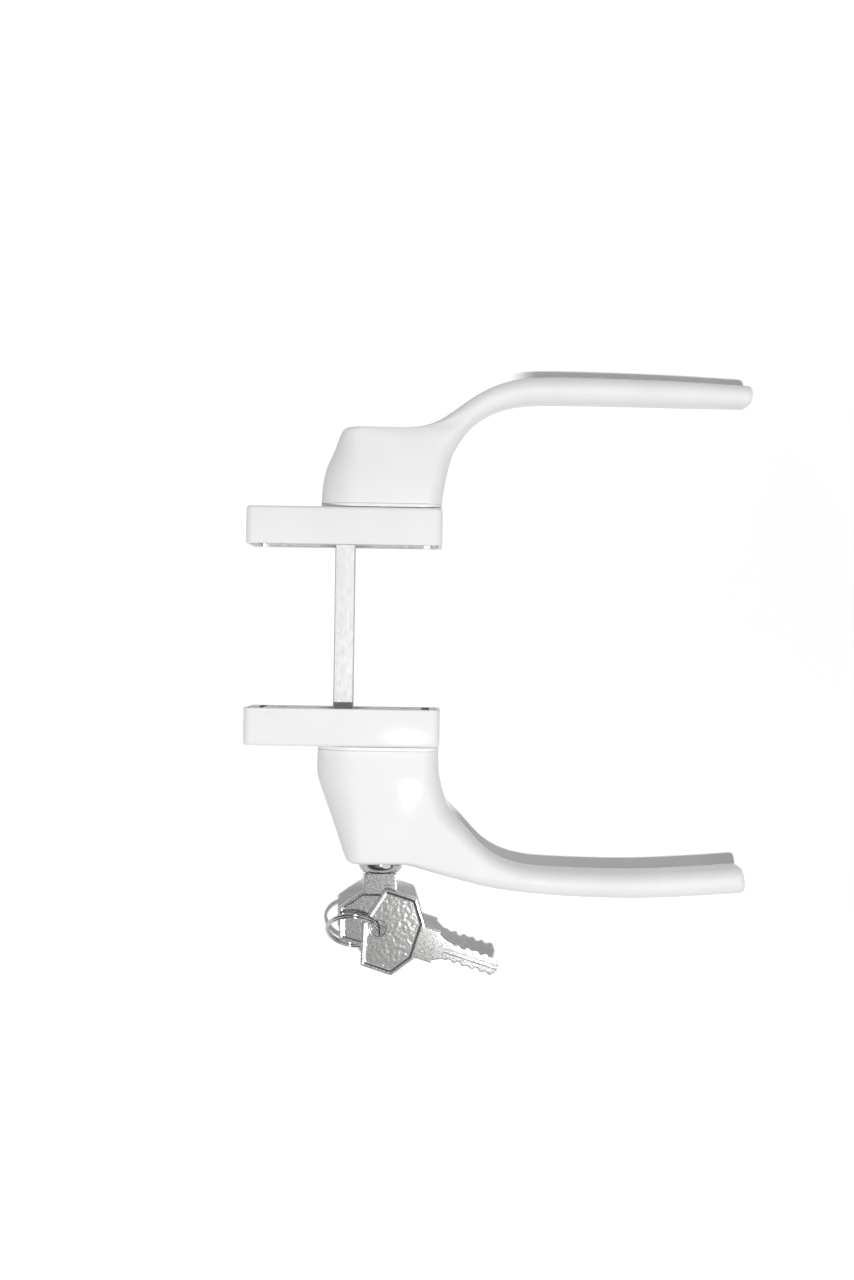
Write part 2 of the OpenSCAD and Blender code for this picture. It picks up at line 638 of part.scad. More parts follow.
module lock_housing() {
    slot_h = bolt_travel + 2 * bolt_slot_r;
    color("silver") outside_side() difference() {
        union() {
            lock_axis(housing_back) cylinder(d = lock_d, h = front_z - housing_back);
            lock_axis(front_z) rotate_extrude() collar_profile();
        }
        lock_axis(cam_back - fit_gap) cylinder(r = plug_r + run_gap, h = collar_z);
        lock_axis(plug_ring_z - run_gap) cylinder(r = plug_ring_r + run_gap, h = plug_ring_t + 2 * run_gap);
        lock_axis(bolt_head_back - bolt_travel - 3 * fit_gap) cylinder(r = cam_bore_r, h = collar_z / 2);
        translate([bolt_x, 0, 0]) cylinder(r = bolt_hole_r, h = bolt_head_back);
        lock_axis(bolt_pin_z - bolt_travel - bolt_slot_r)
            translate([-bolt_slot_r, -lock_d, 0]) cube([2 * bolt_slot_r, 2 * lock_d, slot_h]);
        translate([lock_x, -lock_d / 2 + lock_dimple, lock_screw_z]) rotate([90, 0, 0])
            cylinder(d = lock_screw_d + 2 * run_gap, h = lock_d);
    }
}

// Half of the collar: a low foot and a side that rounds over to the front
module collar_profile() {
    foot = 0.6;
    dome_x = collar_d / 2 - collar_dome;
    dome = [for (a = [0:9:90]) [dome_x + collar_dome * cos(a), foot + (collar_h - foot) * sin(a)]];
    polygon(concat([[0, 0], [collar_d / 2, 0]], dome, [[0, collar_h]]));
}

module lock_screw() {
    color("gray") outside_side() translate([lock_x, -lock_d / 2 + lock_dimple, lock_screw_z])
        rotate([90, 0, 0]) difference() {
            cylinder(d = lock_screw_d, h = lock_screw_l);
            translate([0, 0, lock_screw_l - hex_depth])
                cylinder(d = lock_screw_d / 2, h = hex_depth + cut, $fn = 6);
        }
}

module lock_plug() {
    color("goldenrod") outside_side() difference() {
        lock_axis(plug_back) cylinder(r = plug_r, h = plug_front - plug_back);
        lock_axis(keyway_back) translate([-blade_w / 2 - fit_gap, -key_t / 2 - fit_gap, 0])
            cube([blade_w + 2 * fit_gap, key_t + 2 * fit_gap, plug_front]);
        for (i = [0:wafer_count - 1])
            lock_axis(wafer_z(i) - fit_gap) translate([-plug_d, -wafer_w / 2 - fit_gap, 0])
                cube([2 * plug_d, wafer_w + 2 * fit_gap, wafer_t + 2 * fit_gap]);
        lock_axis(plug_ring_z - run_gap) difference() {
            cylinder(r = plug_d, h = plug_ring_t + 2 * run_gap);
            cylinder(r = plug_groove_r, h = plug_ring_t + 2 * run_gap);
        }
    }
}

module plug_ring() {
    color("gray") outside_side() lock_axis(plug_ring_z) difference() {
        cylinder(r = plug_ring_r, h = plug_ring_t);
        translate([0, 0, -cut]) cylinder(r = plug_groove_r + run_gap, h = plug_ring_t + 2 * cut);
        translate([0, -1, -cut]) cube([plug_d, 2, plug_ring_t + 2 * cut]);
    }
}

function wafer_z(i) = plug_front - wafer_first - i * wafer_pitch;

module wafers() {
    color("gold") outside_side() for (i = [0:wafer_count - 1])
        lock_axis(wafer_z(i)) difference() {
            intersection() {
                cylinder(r = wafer_r, h = wafer_t);
                translate([-plug_d, -wafer_w / 2, 0]) cube([2 * plug_d, wafer_w, wafer_t]);
            }
            translate([-wafer_window_w / 2, -wafer_window_t / 2, -cut])
                cube([wafer_window_w, wafer_window_t, wafer_t + 2 * cut]);
            translate([-wafer_notch_l / 2, wafer_w / 2 - wafer_notch_w, -cut])
                cube([wafer_notch_l, wafer_w, wafer_t + 2 * cut]);
        }
}

module wafer_springs() {
    wire = 0.22;
    turns = 4;
    l = wafer_notch_l - wire - 2 * fit_gap;
    color("silver") outside_side() for (i = [0:wafer_count - 1])
        lock_axis(wafer_z(i) + wafer_t / 2)
            translate([-l / 2, wafer_w / 2 - wafer_spring_r - fit_gap, 0]) rotate([0, 90, 0])
                coil(wafer_spring_r - wire / 2, wire, l / turns, turns, 8, 4);
}

// Sleeve behind the plug whose two helical slots carry the cross pin in and out
module lock_cam() {
    color("gray") outside_side() difference() {
        lock_axis(cam_back) cylinder(r = plug_r, h = cam_l);
        lock_axis(cam_back - cut) cylinder(r = cam_bore_r, h = cam_l + cut - 1);
        for (turn = [0:7.5:90])
            lock_axis(bolt_pin_z - bolt_travel * turn / 90) rotate([0, 0, 90 - turn]) rotate([0, 90, 0])
                cylinder(r = bolt_slot_r, h = 2 * plug_d, center = true);
    }
}

module lock_bolt() {
    color("silver") outside_side() difference() {
        union() {
            translate([bolt_x, 0, bolt_tip_z]) cylinder(d = bolt_d, h = bolt_head_back - bolt_tip_z);
            lock_axis(bolt_head_back) cylinder(r = bolt_head_r, h = bolt_head_down + bolt_head_up);
        }
        lock_axis(bolt_pin_z) rotate([90, 0, 0])
            cylinder(d = bolt_pin_d + 2 * run_gap, h = plug_d, center = true);
    }
}

module bolt_pin() {
    color("gray") outside_side() lock_axis(bolt_pin_z) rotate([90, 0, 0])
        cylinder(d = bolt_pin_d, h = lock_d - 1, center = true);
}

// Key in its own plane: x runs from the hole in the bow to the tip, and y across it
function bow_points() =
    let (w = bow_w / 2)
    [[bow_apex_u, 0], [bow_side_u[0], -w], [bow_side_u[1], -w], [neck_u, -neck_w / 2],
        [neck_u, neck_w / 2], [bow_side_u[1], w], [bow_side_u[0], w]];
function tip_u() = key_hole_u + blade_l;
function cut_u(i) = key_hole_z - wafer_z(i) - wafer_t / 2;
function blade_edge(side) = [for (i = [0:wafer_count - 1])
    let (d = cut_depths[side > 0 ? i : wafer_count - 1 - i], w = blade_w / 2, u = cut_u(i))
    each [[u - cut_flat / 2 - cut_slope, side * w], [u - cut_flat / 2, side * (w - d)],
        [u + cut_flat / 2, side * (w - d)], [u + cut_flat / 2 + cut_slope, side * w]]];
function reversed(pts) = [for (i = [len(pts) - 1:-1:0]) pts[i]];
function key_points() =
    let (s = key_hole_u, w = shank_w / 2, n = shoulder_w / 2, b = blade_w / 2, t = tip_u())
    concat([[neck_u - 1, -w], [s, -w], [s, -n], [s + slope_l, -b]], blade_edge(-1),
        [[t - key_tip_l, -b], [t, -1.2], [t, 1.2], [t - key_tip_l, b]], reversed(blade_edge(1)),
        [[s + slope_l, b], [s, n], [s, w], [neck_u - 1, w]]);

module key_solid() {
    difference() {
        union() {
            linear_extrude(key_t, center = true) polygon(rounded(bow_points(), bow_corner, 4));
            linear_extrude(key_t, center = true) polygon(key_points());
        }
        cylinder(d = key_hole_d, h = 2 * key_t, center = true);
        for (side = [-1, 1]) {
            translate([0, 0, side * (key_t / 2 + cut / 2 - bow_sink)]) linear_extrude(cut, center = true)
                polygon(rounded(inset(bow_points(), bow_rim), bow_corner / 2, 3));
            translate([key_hole_u + slope_l + blade_l / 2, 0, side * (key_t + cut - groove_depth) / 2])
                cube([blade_l, groove_w, groove_depth + cut], center = true);
        }
        translate([mill_u[0], mill_v[0], key_t / 2 - mill_depth])
            cube([mill_u[1] - mill_u[0], mill_v[1] - mill_v[0], cut]);
    }
}

module inserted_key() {
    color("lightgray") translate([lock_x, -key_hole_z, 0]) rotate([0, 0, 90]) key_solid();
}

// The ring lies in a tilted plane, and its rightmost point is in the inserted key's hole
module ring_place() {
    translate([lock_x, -key_hole_z, 0]) rotate([0, 0, -ring_yaw]) translate([-ring_r, 0, 0])
        rotate([ring_tilt, 0, 0]) children();
}

module split_ring() {
    coil_turns = 1.95;
    color("silver") ring_place() translate([0, 0, -coil_pitch * coil_turns / 2]) rotate([0, 0, 190])
        coil(ring_r, ring_wire_d, coil_pitch, coil_turns, 40, 8);
}

// Centre of the loose key's hole, where the ring passes the loose key's own plane
function spare_hole() =
    let (x = -ring_r * (1 - cos(spare_phase)), y = ring_r * sin(spare_phase) * cos(ring_tilt))
    [lock_x + x * cos(ring_yaw) + y * sin(ring_yaw),
        -key_hole_z + y * cos(ring_yaw) - x * sin(ring_yaw), spare_z];

module spare_key() {
    color("lightgray") translate(spare_hole()) rotate([0, 0, -spare_angle]) key_solid();
}

outside_rosette();
outside_base_plate();
outside_bush();
outside_detent_balls();
outside_detent_springs();
outside_detent_screws();
inside_rosette();
inside_base_plate();
inside_bush();
inside_detent_balls();
inside_detent_springs();
inside_detent_screws();
spindle();
spindle_pin();
inside_grub_screw();
outside_lever();
outside_hub();
outside_hub_screws();
outside_circlip();
inside_lever();
inside_hub();
inside_hub_screws();
inside_circlip();
lock_housing();
lock_screw();
lock_plug();
plug_ring();
wafers();
wafer_springs();
lock_cam();
lock_bolt();
bolt_pin();
inserted_key();
split_ring();
spare_key();
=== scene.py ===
"""Looks for a keyed double-sided door handle: painted levers and rosettes, spindle, lock, keys and ring."""
import bmesh
import bpy
import json
import math
import mathutils
from mathutils import Matrix, Vector


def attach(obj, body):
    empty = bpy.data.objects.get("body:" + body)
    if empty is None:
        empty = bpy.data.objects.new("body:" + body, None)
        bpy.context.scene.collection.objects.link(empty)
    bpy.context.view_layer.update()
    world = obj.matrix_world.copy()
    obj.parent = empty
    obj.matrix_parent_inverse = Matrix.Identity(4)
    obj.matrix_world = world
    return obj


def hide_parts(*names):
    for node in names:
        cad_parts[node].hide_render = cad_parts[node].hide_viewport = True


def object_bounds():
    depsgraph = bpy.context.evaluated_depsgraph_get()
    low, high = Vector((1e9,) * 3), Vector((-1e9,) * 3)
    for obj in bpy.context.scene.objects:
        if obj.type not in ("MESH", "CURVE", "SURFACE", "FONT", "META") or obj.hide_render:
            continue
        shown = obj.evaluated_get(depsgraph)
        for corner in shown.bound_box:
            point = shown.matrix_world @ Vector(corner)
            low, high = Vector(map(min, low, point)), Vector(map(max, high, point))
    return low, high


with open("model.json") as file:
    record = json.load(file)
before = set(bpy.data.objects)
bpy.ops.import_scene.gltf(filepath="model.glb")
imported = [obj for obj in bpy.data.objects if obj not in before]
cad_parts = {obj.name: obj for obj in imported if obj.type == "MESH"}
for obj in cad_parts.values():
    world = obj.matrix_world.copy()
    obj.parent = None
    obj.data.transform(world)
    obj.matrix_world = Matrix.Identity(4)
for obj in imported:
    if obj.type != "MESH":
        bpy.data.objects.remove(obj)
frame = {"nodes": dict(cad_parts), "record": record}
cad_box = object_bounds()
MM = 0.001
SLOTS = {part["node"]: part["material_slot"] for part in frame["record"]["subparts"]}


# Camera, lamp, sky and floor, in metres

CAMERA_AT = Vector((0.0292, 0.0243, 0.7068))
CAMERA_ROLL = 0.857
CAMERA_LENS_MM = 56.25
CAMERA_SENSOR_MM = 36.0
LAMP_AT = Vector((0.125, -0.27, 1.70))
LAMP_AIM = Vector((0.04, 0.02, 0.0))
LAMP_SIZE = 0.055
LAMP_WATTS = 23.0
# Heights in the sky, from 0 at the horizon to 1 straight above, and the brightness there
SKY = ((0.40, 0.24), (0.56, 0.11), (0.78, 0.11), (0.96, 0.42))
# Metal and gloss show the white background up to these heights, where it fades into the sky
BACKDROP_FADE = (0.36, 0.22)
# A soft box that only metal and gloss show: its edge is the cosine of the angle off its middle
SOFT_BOX_TOWARD = Vector((0.54, -0.26, 0.80)).normalized()
SOFT_BOX_EDGE = (0.90, 0.95)
SOFT_BOX_LIGHT = 1.5
FLOOR_Z = cad_box[0][2]
FLOOR_SIZE = 1.5
FLOOR_WHITE = 0.97
# The floor glows more the further it is from a point between the grips
GLOW_CENTRE = (0.05, 0.0, FLOOR_Z)
GLOW_DISTANCE = (0.14, 0.40)
GLOW_STRENGTH = (0.05, 0.5)
# The floor is painted an even white to the left of a leaning line, down to the keys: painted light that
# hides the cast shadows of the rosettes and bosses
PAINTED_LIGHT_LEAN = -0.15
PAINTED_LIGHT_X = (0.050, 0.038)
PAINTED_LIGHT_Y = (-0.066, -0.058)
WHITE = (1, 1, 1, 1)


def grey(light):
    return (light, light, light, 1)


def add_to_scene(name, data):
    thing = bpy.data.objects.new(name, data)
    bpy.context.scene.collection.objects.link(thing)
    return thing


def add_camera():
    data = bpy.data.cameras.new("camera")
    data.lens = CAMERA_LENS_MM
    data.sensor_width = CAMERA_SENSOR_MM
    data.sensor_fit = "AUTO"
    data.clip_start = 0.01
    camera = add_to_scene("camera", data)
    camera.location = CAMERA_AT
    camera.rotation_euler = (0, 0, math.radians(CAMERA_ROLL))
    bpy.context.scene.camera = camera


def add_lamp():
    data = bpy.data.lights.new("main_lamp", "AREA")
    data.shape = "DISK"
    data.size = LAMP_SIZE
    data.energy = LAMP_WATTS
    lamp = add_to_scene("main_lamp", data)
    lamp.location = LAMP_AT
    lamp.rotation_euler = (LAMP_AT - LAMP_AIM).to_track_quat("Z", "Y").to_euler()


# Shader nodes: each of these functions adds one and returns its output. A sum stays within 0 and 1.

def map_range(tree, value, start, end, low=0.0, high=1.0, kind="LINEAR"):
    node = tree.nodes.new("ShaderNodeMapRange")
    node.interpolation_type = kind
    node.inputs["From Min"].default_value = start
    node.inputs["From Max"].default_value = end
    node.inputs["To Min"].default_value = low
    node.inputs["To Max"].default_value = high
    tree.links.new(value, node.inputs["Value"])
    return node.outputs[0]


def smooth_step(tree, value, start, end):
    return map_range(tree, value, start, end, kind="SMOOTHSTEP")


def combine(tree, operation, *values):
    node = tree.nodes.new("ShaderNodeMath")
    node.operation = operation
    node.use_clamp = operation == "ADD"
    for socket, value in zip(node.inputs, values):
        if isinstance(value, float):
            socket.default_value = value
        else:
            tree.links.new(value, socket)
    return node.outputs[0]


def vector_number(tree, operation, vector, other):
    node = tree.nodes.new("ShaderNodeVectorMath")
    node.operation = operation
    node.inputs[1].default_value = other
    tree.links.new(vector, node.inputs[0])
    return node.outputs["Value"]


def mix_toward(tree, factor, colour, other):
    node = tree.nodes.new("ShaderNodeMix")
    node.data_type = "RGBA"
    node.inputs["B"].default_value = other
    tree.links.new(factor, node.inputs["Factor"])
    tree.links.new(colour, node.inputs["A"])
    return node.outputs["Result"]


def split_vector(tree, vector):
    node = tree.nodes.new("ShaderNodeSeparateXYZ")
    tree.links.new(vector, node.inputs[0])
    return node.outputs


def ray_kinds(tree):
    """Camera rays, and the glossy and transmission rays that show the same white background."""
    path = tree.nodes.new("ShaderNodeLightPath")
    bounced = combine(tree, "ADD", path.outputs["Is Glossy Ray"], path.outputs["Is Transmission Ray"])
    return path.outputs["Is Camera Ray"], path.outputs["Is Glossy Ray"], bounced


def sky_light(tree, height):
    node = tree.nodes.new("ShaderNodeValToRGB")
    stops = node.color_ramp.elements
    for stop, (at, light) in zip(stops, (SKY[0], SKY[-1])):
        stop.position = at
        stop.color = grey(light)
    for at, light in SKY[1:-1]:
        stops.new(at).color = grey(light)
    tree.links.new(height, node.inputs[0])
    return node.outputs[0]


def add_world():
    world = bpy.data.worlds.new("studio")
    bpy.context.scene.world = world
    world.use_nodes = True
    tree = world.node_tree
    tree.nodes.clear()
    out = tree.nodes.new("ShaderNodeOutputWorld")
    back = tree.nodes.new("ShaderNodeBackground")
    ray = tree.nodes.new("ShaderNodeTexCoord").outputs["Generated"]
    height = split_vector(tree, ray)["Z"]
    camera, glossy, bounced = ray_kinds(tree)
    toward_box = vector_number(tree, "DOT_PRODUCT", ray, SOFT_BOX_TOWARD)
    in_box = combine(tree, "MULTIPLY", smooth_step(tree, toward_box, *SOFT_BOX_EDGE), glossy)
    colour = mix_toward(tree, in_box, sky_light(tree, height), grey(SOFT_BOX_LIGHT))
    backdrop = combine(tree, "MULTIPLY_ADD", bounced, smooth_step(tree, height, *BACKDROP_FADE), camera)
    tree.links.new(mix_toward(tree, backdrop, colour, WHITE), back.inputs[0])
    tree.links.new(back.outputs[0], out.inputs[0])


def white_table():
    mat = bpy.data.materials.new("white_table")
    mat.use_nodes = True
    tree = mat.node_tree
    tree.nodes.clear()
    out = tree.nodes.new("ShaderNodeOutputMaterial")
    table = tree.nodes.new("ShaderNodeBsdfDiffuse")
    table.inputs[0].default_value = grey(FLOOR_WHITE)
    white = tree.nodes.new("ShaderNodeEmission")
    white.inputs[0].default_value = WHITE
    glow = tree.nodes.new("ShaderNodeEmission")
    glow.inputs[0].default_value = WHITE
    camera, _, bounced = ray_kinds(tree)
    seen = combine(tree, "ADD", camera, bounced)
    place = tree.nodes.new("ShaderNodeTexCoord").outputs["Object"]
    x, y, _ = split_vector(tree, place)
    away = vector_number(tree, "DISTANCE", place, GLOW_CENTRE)
    strength = map_range(tree, away, *GLOW_DISTANCE, *GLOW_STRENGTH)
    tree.links.new(combine(tree, "MULTIPLY", seen, strength), glow.inputs[1])
    # Painted light: where this mask is 1 the floor shows plain white to the camera and in reflections,
    # hiding the cast shadows round the rosettes and bosses
    painted_light_by_x = smooth_step(tree, combine(tree, "MULTIPLY_ADD", y, PAINTED_LIGHT_LEAN, x), *PAINTED_LIGHT_X)
    painted_light_area = combine(tree, "MULTIPLY", painted_light_by_x, smooth_step(tree, y, *PAINTED_LIGHT_Y))
    painted_light_mix = tree.nodes.new("ShaderNodeMixShader")
    tree.links.new(combine(tree, "MULTIPLY", painted_light_area, seen), painted_light_mix.inputs[0])
    tree.links.new(table.outputs[0], painted_light_mix.inputs[1])
    tree.links.new(white.outputs[0], painted_light_mix.inputs[2])
    add = tree.nodes.new("ShaderNodeAddShader")
    tree.links.new(painted_light_mix.outputs[0], add.inputs[0])
    tree.links.new(glow.outputs[0], add.inputs[1])
    tree.links.new(add.outputs[0], out.inputs[0])
    return mat


def add_floor():
    mesh = bpy.data.meshes.new("floor")
    h = FLOOR_SIZE / 2
    corners = [(-h, -h, FLOOR_Z), (h, -h, FLOOR_Z), (h, h, FLOOR_Z), (-h, h, FLOOR_Z)]
    mesh.from_pydata(corners, [], [(0, 1, 2, 3)])
    mesh.materials.append(white_table())
    floor = add_to_scene("floor", mesh)


# Materials

def new_material(name, colour, roughness, metallic=0.0, coat=0.0):
    mat = bpy.data.materials.new(name)
    mat.use_nodes = True
    tree = mat.node_tree
    shader = tree.nodes["Principled BSDF"]
    shader.inputs["Base Color"].default_value = (*colour, 1)
    shader.inputs["Roughness"].default_value = roughness
    shader.inputs["Metallic"].default_value = metallic
    shader.inputs["Coat Weight"].default_value = coat
    shader.inputs["Coat Roughness"].default_value = 0.05
    return mat, tree, shader


def noise(tree, scale, detail, stretch=(1, 1, 1)):
    coord = tree.nodes.new("ShaderNodeTexCoord")
    mapping = tree.nodes.new("ShaderNodeMapping")
    mapping.inputs["Scale"].default_value = stretch
    node = tree.nodes.new("ShaderNodeTexNoise")
    node.inputs["Scale"].default_value = scale
    node.inputs["Detail"].default_value = detail
    tree.links.new(coord.outputs["Object"], mapping.inputs["Vector"])
    tree.links.new(mapping.outputs[0], node.inputs["Vector"])
    return node.outputs["Fac"]


def vary_colour(tree, shader, pattern, low, high):
    ramp = tree.nodes.new("ShaderNodeValToRGB")
    for stop, at, colour in zip(ramp.color_ramp.elements, (0.35, 0.65), (low, high)):
        stop.position = at
        stop.color = (*colour, 1)
    tree.links.new(pattern, ramp.inputs[0])
    tree.links.new(ramp.outputs[0], shader.inputs["Base Color"])


def vary_roughness(tree, shader, pattern, low, high):
    tree.links.new(map_range(tree, pattern, 0.3, 0.7, low, high), shader.inputs["Roughness"])


def add_bump(tree, shader, height, strength, distance):
    bump = tree.nodes.new("ShaderNodeBump")
    bump.inputs["Strength"].default_value = strength
    bump.inputs["Distance"].default_value = distance
    tree.links.new(height, bump.inputs["Height"])
    tree.links.new(bump.outputs[0], shader.inputs["Normal"])


def paint(name):
    mat, tree, shader = new_material(name, (0.86, 0.86, 0.86), 0.6, coat=0.16)
    vary_colour(tree, shader, noise(tree, 45, 2), (0.84, 0.84, 0.84), (0.87, 0.87, 0.87))
    peel = noise(tree, 900, 2)
    vary_roughness(tree, shader, peel, 0.56, 0.64)
    add_bump(tree, shader, peel, 0.05, 0.0002)
    return mat


def metal(name, colour, roughness, spread, grain=1500, bump=0.08, stretch=(1, 1, 1)):
    mat, tree, shader = new_material(name, colour, roughness, metallic=1.0)
    grains = noise(tree, grain, 4, stretch)
    low = tuple(c * (1 - spread * 2) for c in colour)
    vary_colour(tree, shader, grains, low, colour)
    vary_roughness(tree, shader, grains, max(roughness - spread, 0.03), roughness + spread)
    add_bump(tree, shader, grains, bump, 0.0002)
    return mat


def cast_nickel(name):
    mat, tree, shader = new_material(name, (0.80, 0.80, 0.79), 0.04, metallic=1.0)
    fine = noise(tree, 2400, 3)
    vary_colour(tree, shader, fine, (0.46, 0.46, 0.45), (0.92, 0.92, 0.91))
    add_bump(tree, shader, fine, 0.015, 0.0002)
    return mat


def plastic(name, colour):
    mat, tree, shader = new_material(name, colour, 0.5)
    fine = noise(tree, 1200, 3)
    vary_roughness(tree, shader, fine, 0.42, 0.58)
    vary_colour(tree, shader, fine, tuple(c * 0.9 for c in colour), colour)
    add_bump(tree, shader, fine, 0.1, 0.0001)
    return mat


def make_materials():
    recipes = (
        ("white_paint", paint),
        ("cast_zinc", metal, (0.52, 0.53, 0.54), 0.5, 0.1, 500),
        ("nylon", plastic, (0.72, 0.71, 0.67)),
        ("hard_steel", metal, (0.75, 0.75, 0.76), 0.12, 0.03),
        ("spring_steel", metal, (0.40, 0.40, 0.41), 0.3, 0.06),
        ("screw_steel", metal, (0.62, 0.62, 0.63), 0.3, 0.08),
        ("spindle_steel", metal, (0.62, 0.62, 0.62), 0.66, 0.05, 1100, 0.05, (1, 0.3, 1)),
        # Painted shade: the chrome's colour is darker than real chrome, standing in for the dark room that
        # it reflects
        ("lock_chrome", metal, (0.44, 0.44, 0.45), 0.07, 0.02, 800, 0.02),
        ("lock_brass", metal, (0.78, 0.62, 0.34), 0.3, 0.06),
        ("key_nickel", cast_nickel),
        ("ring_nickel", metal, (0.50, 0.50, 0.50), 0.11, 0.03, 900, 0.03))
    return {name: make(name, *values) for name, make, *values in recipes}


def paint_cad_nodes():
    for name, obj in frame["nodes"].items():
        obj.data.materials.clear()
        obj.data.materials.append(MATERIALS[SLOTS[name]])


# Sizes in millimetres: those of the solids, but for the grips' rises, the keys' grooves and soft edges

FIT_GAP = 0.1
RUN_GAP = 0.05
CUT = 1.0
DOOR_T = 57.0

ROSETTE_L = 68.0
ROSETTE_W = 33.0
ROSETTE_H = 13.0
ROSETTE_WALL = 1.5
ROSETTE_CORNER = 2.5
ROSETTE_EDGE = 1.2
ROSETTE_FOOT = 0.15
INNER_CORNER = 1.0
NECK_R = 7.0

BOSS_Z = 14.6
BOSS_BACK = 8.8
BOSS_L = 42.5
BOSS_END = BOSS_L - BOSS_BACK
BOSS_W = 27.0
BOSS_CORNER = 6.0
BOSS_ROUND = BOSS_W / 2 - 0.2
OUTSIDE_BOSS_H = 39.9
INSIDE_BOSS_H = 26.8
OUTSIDE_RISE = 10.6
INSIDE_RISE = 18.7
LEVER_REACH = 142.0
GRIP_W = 20.0
GRIP_T = 9.0
TIP_R = 1.8

SPINDLE_SQ = 7.0
SPINDLE_OUTSIDE = 32.0
SPINDLE_INSIDE = 29.0
SPINDLE_CORNER = 0.45
SPINDLE_CHAMFER = 0.57
PIN_R = 1.5
PIN_L = 21.0
PIN_Z = 26.0
GRUB_R = 2.5
GRUB_Z = 24.0
HUB_SCREW_R = 1.5
HUB_SCREW_X = BOSS_END - 7.7
HUB_SCREW_Y = BOSS_W / 2 - 6.5
HUB_SCREW_END = 24.0

LOCK_X = 14.0
LOCK_R = 6.5
LOCK_SCREW_R = 2.0
LOCK_SCREW_Z = 40.0
FRONT_Z = BOSS_Z + OUTSIDE_BOSS_H
COLLAR_H = 3.7
COLLAR_R = 7.7
COLLAR_DOME = 3.4
COLLAR_FOOT = 0.6
COLLAR_EDGE = 0.12
PLUG_R = 5.0
BOLT_X = 12.3
BOLT_R = 1.5
BOLT_TRAVEL = 4.0
BOLT_SLOT_R = 0.95
CAM_BORE_R = 2.6
CAM_L = 9.4

KEY_T = 2.2
BLADE_W = 6.4
BLADE_L = 22.8
KEY_HOLE_U = 21.4
KEY_HOLE_R = 2.7
BOW_W = 28.6
BOW_APEX_U = -5.9
BOW_SIDE_U = (-2.0, 9.5)
BOW_CORNER = 1.2
BOW_RIM = 1.3
BOW_SINK = 0.3
BOW_WALL = 0.9
NECK_U = 15.0
NECK_W = 13.0
SHANK_W = 11.6
SHOULDER_W = 9.4
SLOPE_L = 3.1
KEY_TIP_L = 1.6
KEY_TIP_W = 2.4
FIRST_CUT_U = KEY_HOLE_U + 5.8
CUT_PITCH = 3.3
CUT_DEPTHS = (0.5, 0.9, 0.4, 0.8, 0.6)
CUT_FLAT = 1.0
CUT_SLOPE = 0.7
GROOVE_DEPTH = 0.45
GROOVE_W = (1.2, 1.96)
MILL_U = (17.2, 21.0)
MILL_V = (-4.3, -1.2)
MILL_CORNER = 0.4
EDGE_R = 0.34
HOLE_EDGE_R = 0.4
KEY_GAP = 0.3
SPARE_ANGLE = 17.5

RING_R = 9.4
WIRE_R = 0.5
RING_PITCH = 1.1
RING_TURNS = 1.95
RING_START = 190.0
RING_TILT = 48.0
RING_YAW = 5.5

# Heights in the lock, back from the key's shoulder, which rests on the collar
SHOULDER_Z = FRONT_Z + COLLAR_H + FIT_GAP
KEY_TIP_Z = SHOULDER_Z - BLADE_L
PLUG_BACK = KEY_TIP_Z - 3.5
CAM_BACK = PLUG_BACK - CAM_L
BOLT_PIN_Z = PLUG_BACK - 2.6
BOLT_HEAD_BACK = CAM_BACK - 2 * FIT_GAP
KEY_HOLE_AT = (LOCK_X, -SHOULDER_Z - KEY_HOLE_U, 0.0)


# Places: each handle has its own z, out from its door face

def outside_place(p):
    return Vector((p[0], -p[2], p[1])) * MM


def inside_place(p):
    return Vector((p[0], p[2] + DOOR_T, -p[1])) * MM


def plain_place(p):
    return Vector(p) * MM


# Shapes as lists of points and faces

def circle(r, steps=48):
    angles = [2 * math.pi * k / steps for k in range(steps)]
    return [(r * math.cos(a), r * math.sin(a)) for a in angles]


def rounded_rectangle(length, width, r, z, steps=8):
    x, y = length / 2 - r, width / 2 - r
    ring = []
    for cx, cy, start in ((x, y, 0), (-x, y, 90), (-x, -y, 180), (x, -y, 270)):
        for k in range(steps + 1):
            a = math.radians(start + 90 * k / steps)
            ring.append((cx + r * math.cos(a), cy + r * math.sin(a), z))
    return ring


def loft(rings):
    n = len(rings[0])
    points = [p for ring in rings for p in ring]
    faces = []
    for i in range(len(rings) - 1):
        for j in range(n):
            k = (j + 1) % n
            faces.append((i * n + j, i * n + k, (i + 1) * n + k, (i + 1) * n + j))
    faces.append(tuple(range(n - 1, -1, -1)))
    faces.append(tuple((len(rings) - 1) * n + j for j in range(n)))
    return points, faces


def lathe(profile, x, steps):
    return loft([[(x + cx, cy, z) for cx, cy in circle(r, steps)] for r, z in profile])


def box(x0, x1, y0, y1, z0, z1):
    return loft([[(x0, y0, z), (x1, y0, z), (x1, y1, z), (x0, y1, z)] for z in (z0, z1)])


def rod(r, start, end, steps=48):
    start, end = Vector(start), Vector(end)
    turn = (end - start).to_track_quat("Z", "Y")
    return loft([[tuple(centre + turn @ Vector((x, y, 0))) for x, y in circle(r, steps)]
                 for centre in (start, end)])


def upright_rod(r, x, y, z0, z1, steps=48):
    return rod(r, (x, y, z0), (x, y, z1), steps)


# Meshes and pieces

def solid_mesh(name, shape, place):
    points, faces = shape
    mesh = bpy.data.meshes.new(name)
    mesh.from_pydata([place(p) for p in points], [], faces)
    mesh.validate()
    bm = bmesh.new()
    bm.from_mesh(mesh)
    bmesh.ops.delete(bm, geom=[v for v in bm.verts if not v.link_faces], context="VERTS")
    bmesh.ops.recalc_face_normals(bm, faces=bm.faces)
    bm.to_mesh(mesh)
    bm.free()
    return mesh


def smooth(mesh, degrees):
    for polygon in mesh.polygons:
        polygon.use_smooth = True
    mesh.set_sharp_from_angle(angle=math.radians(degrees))


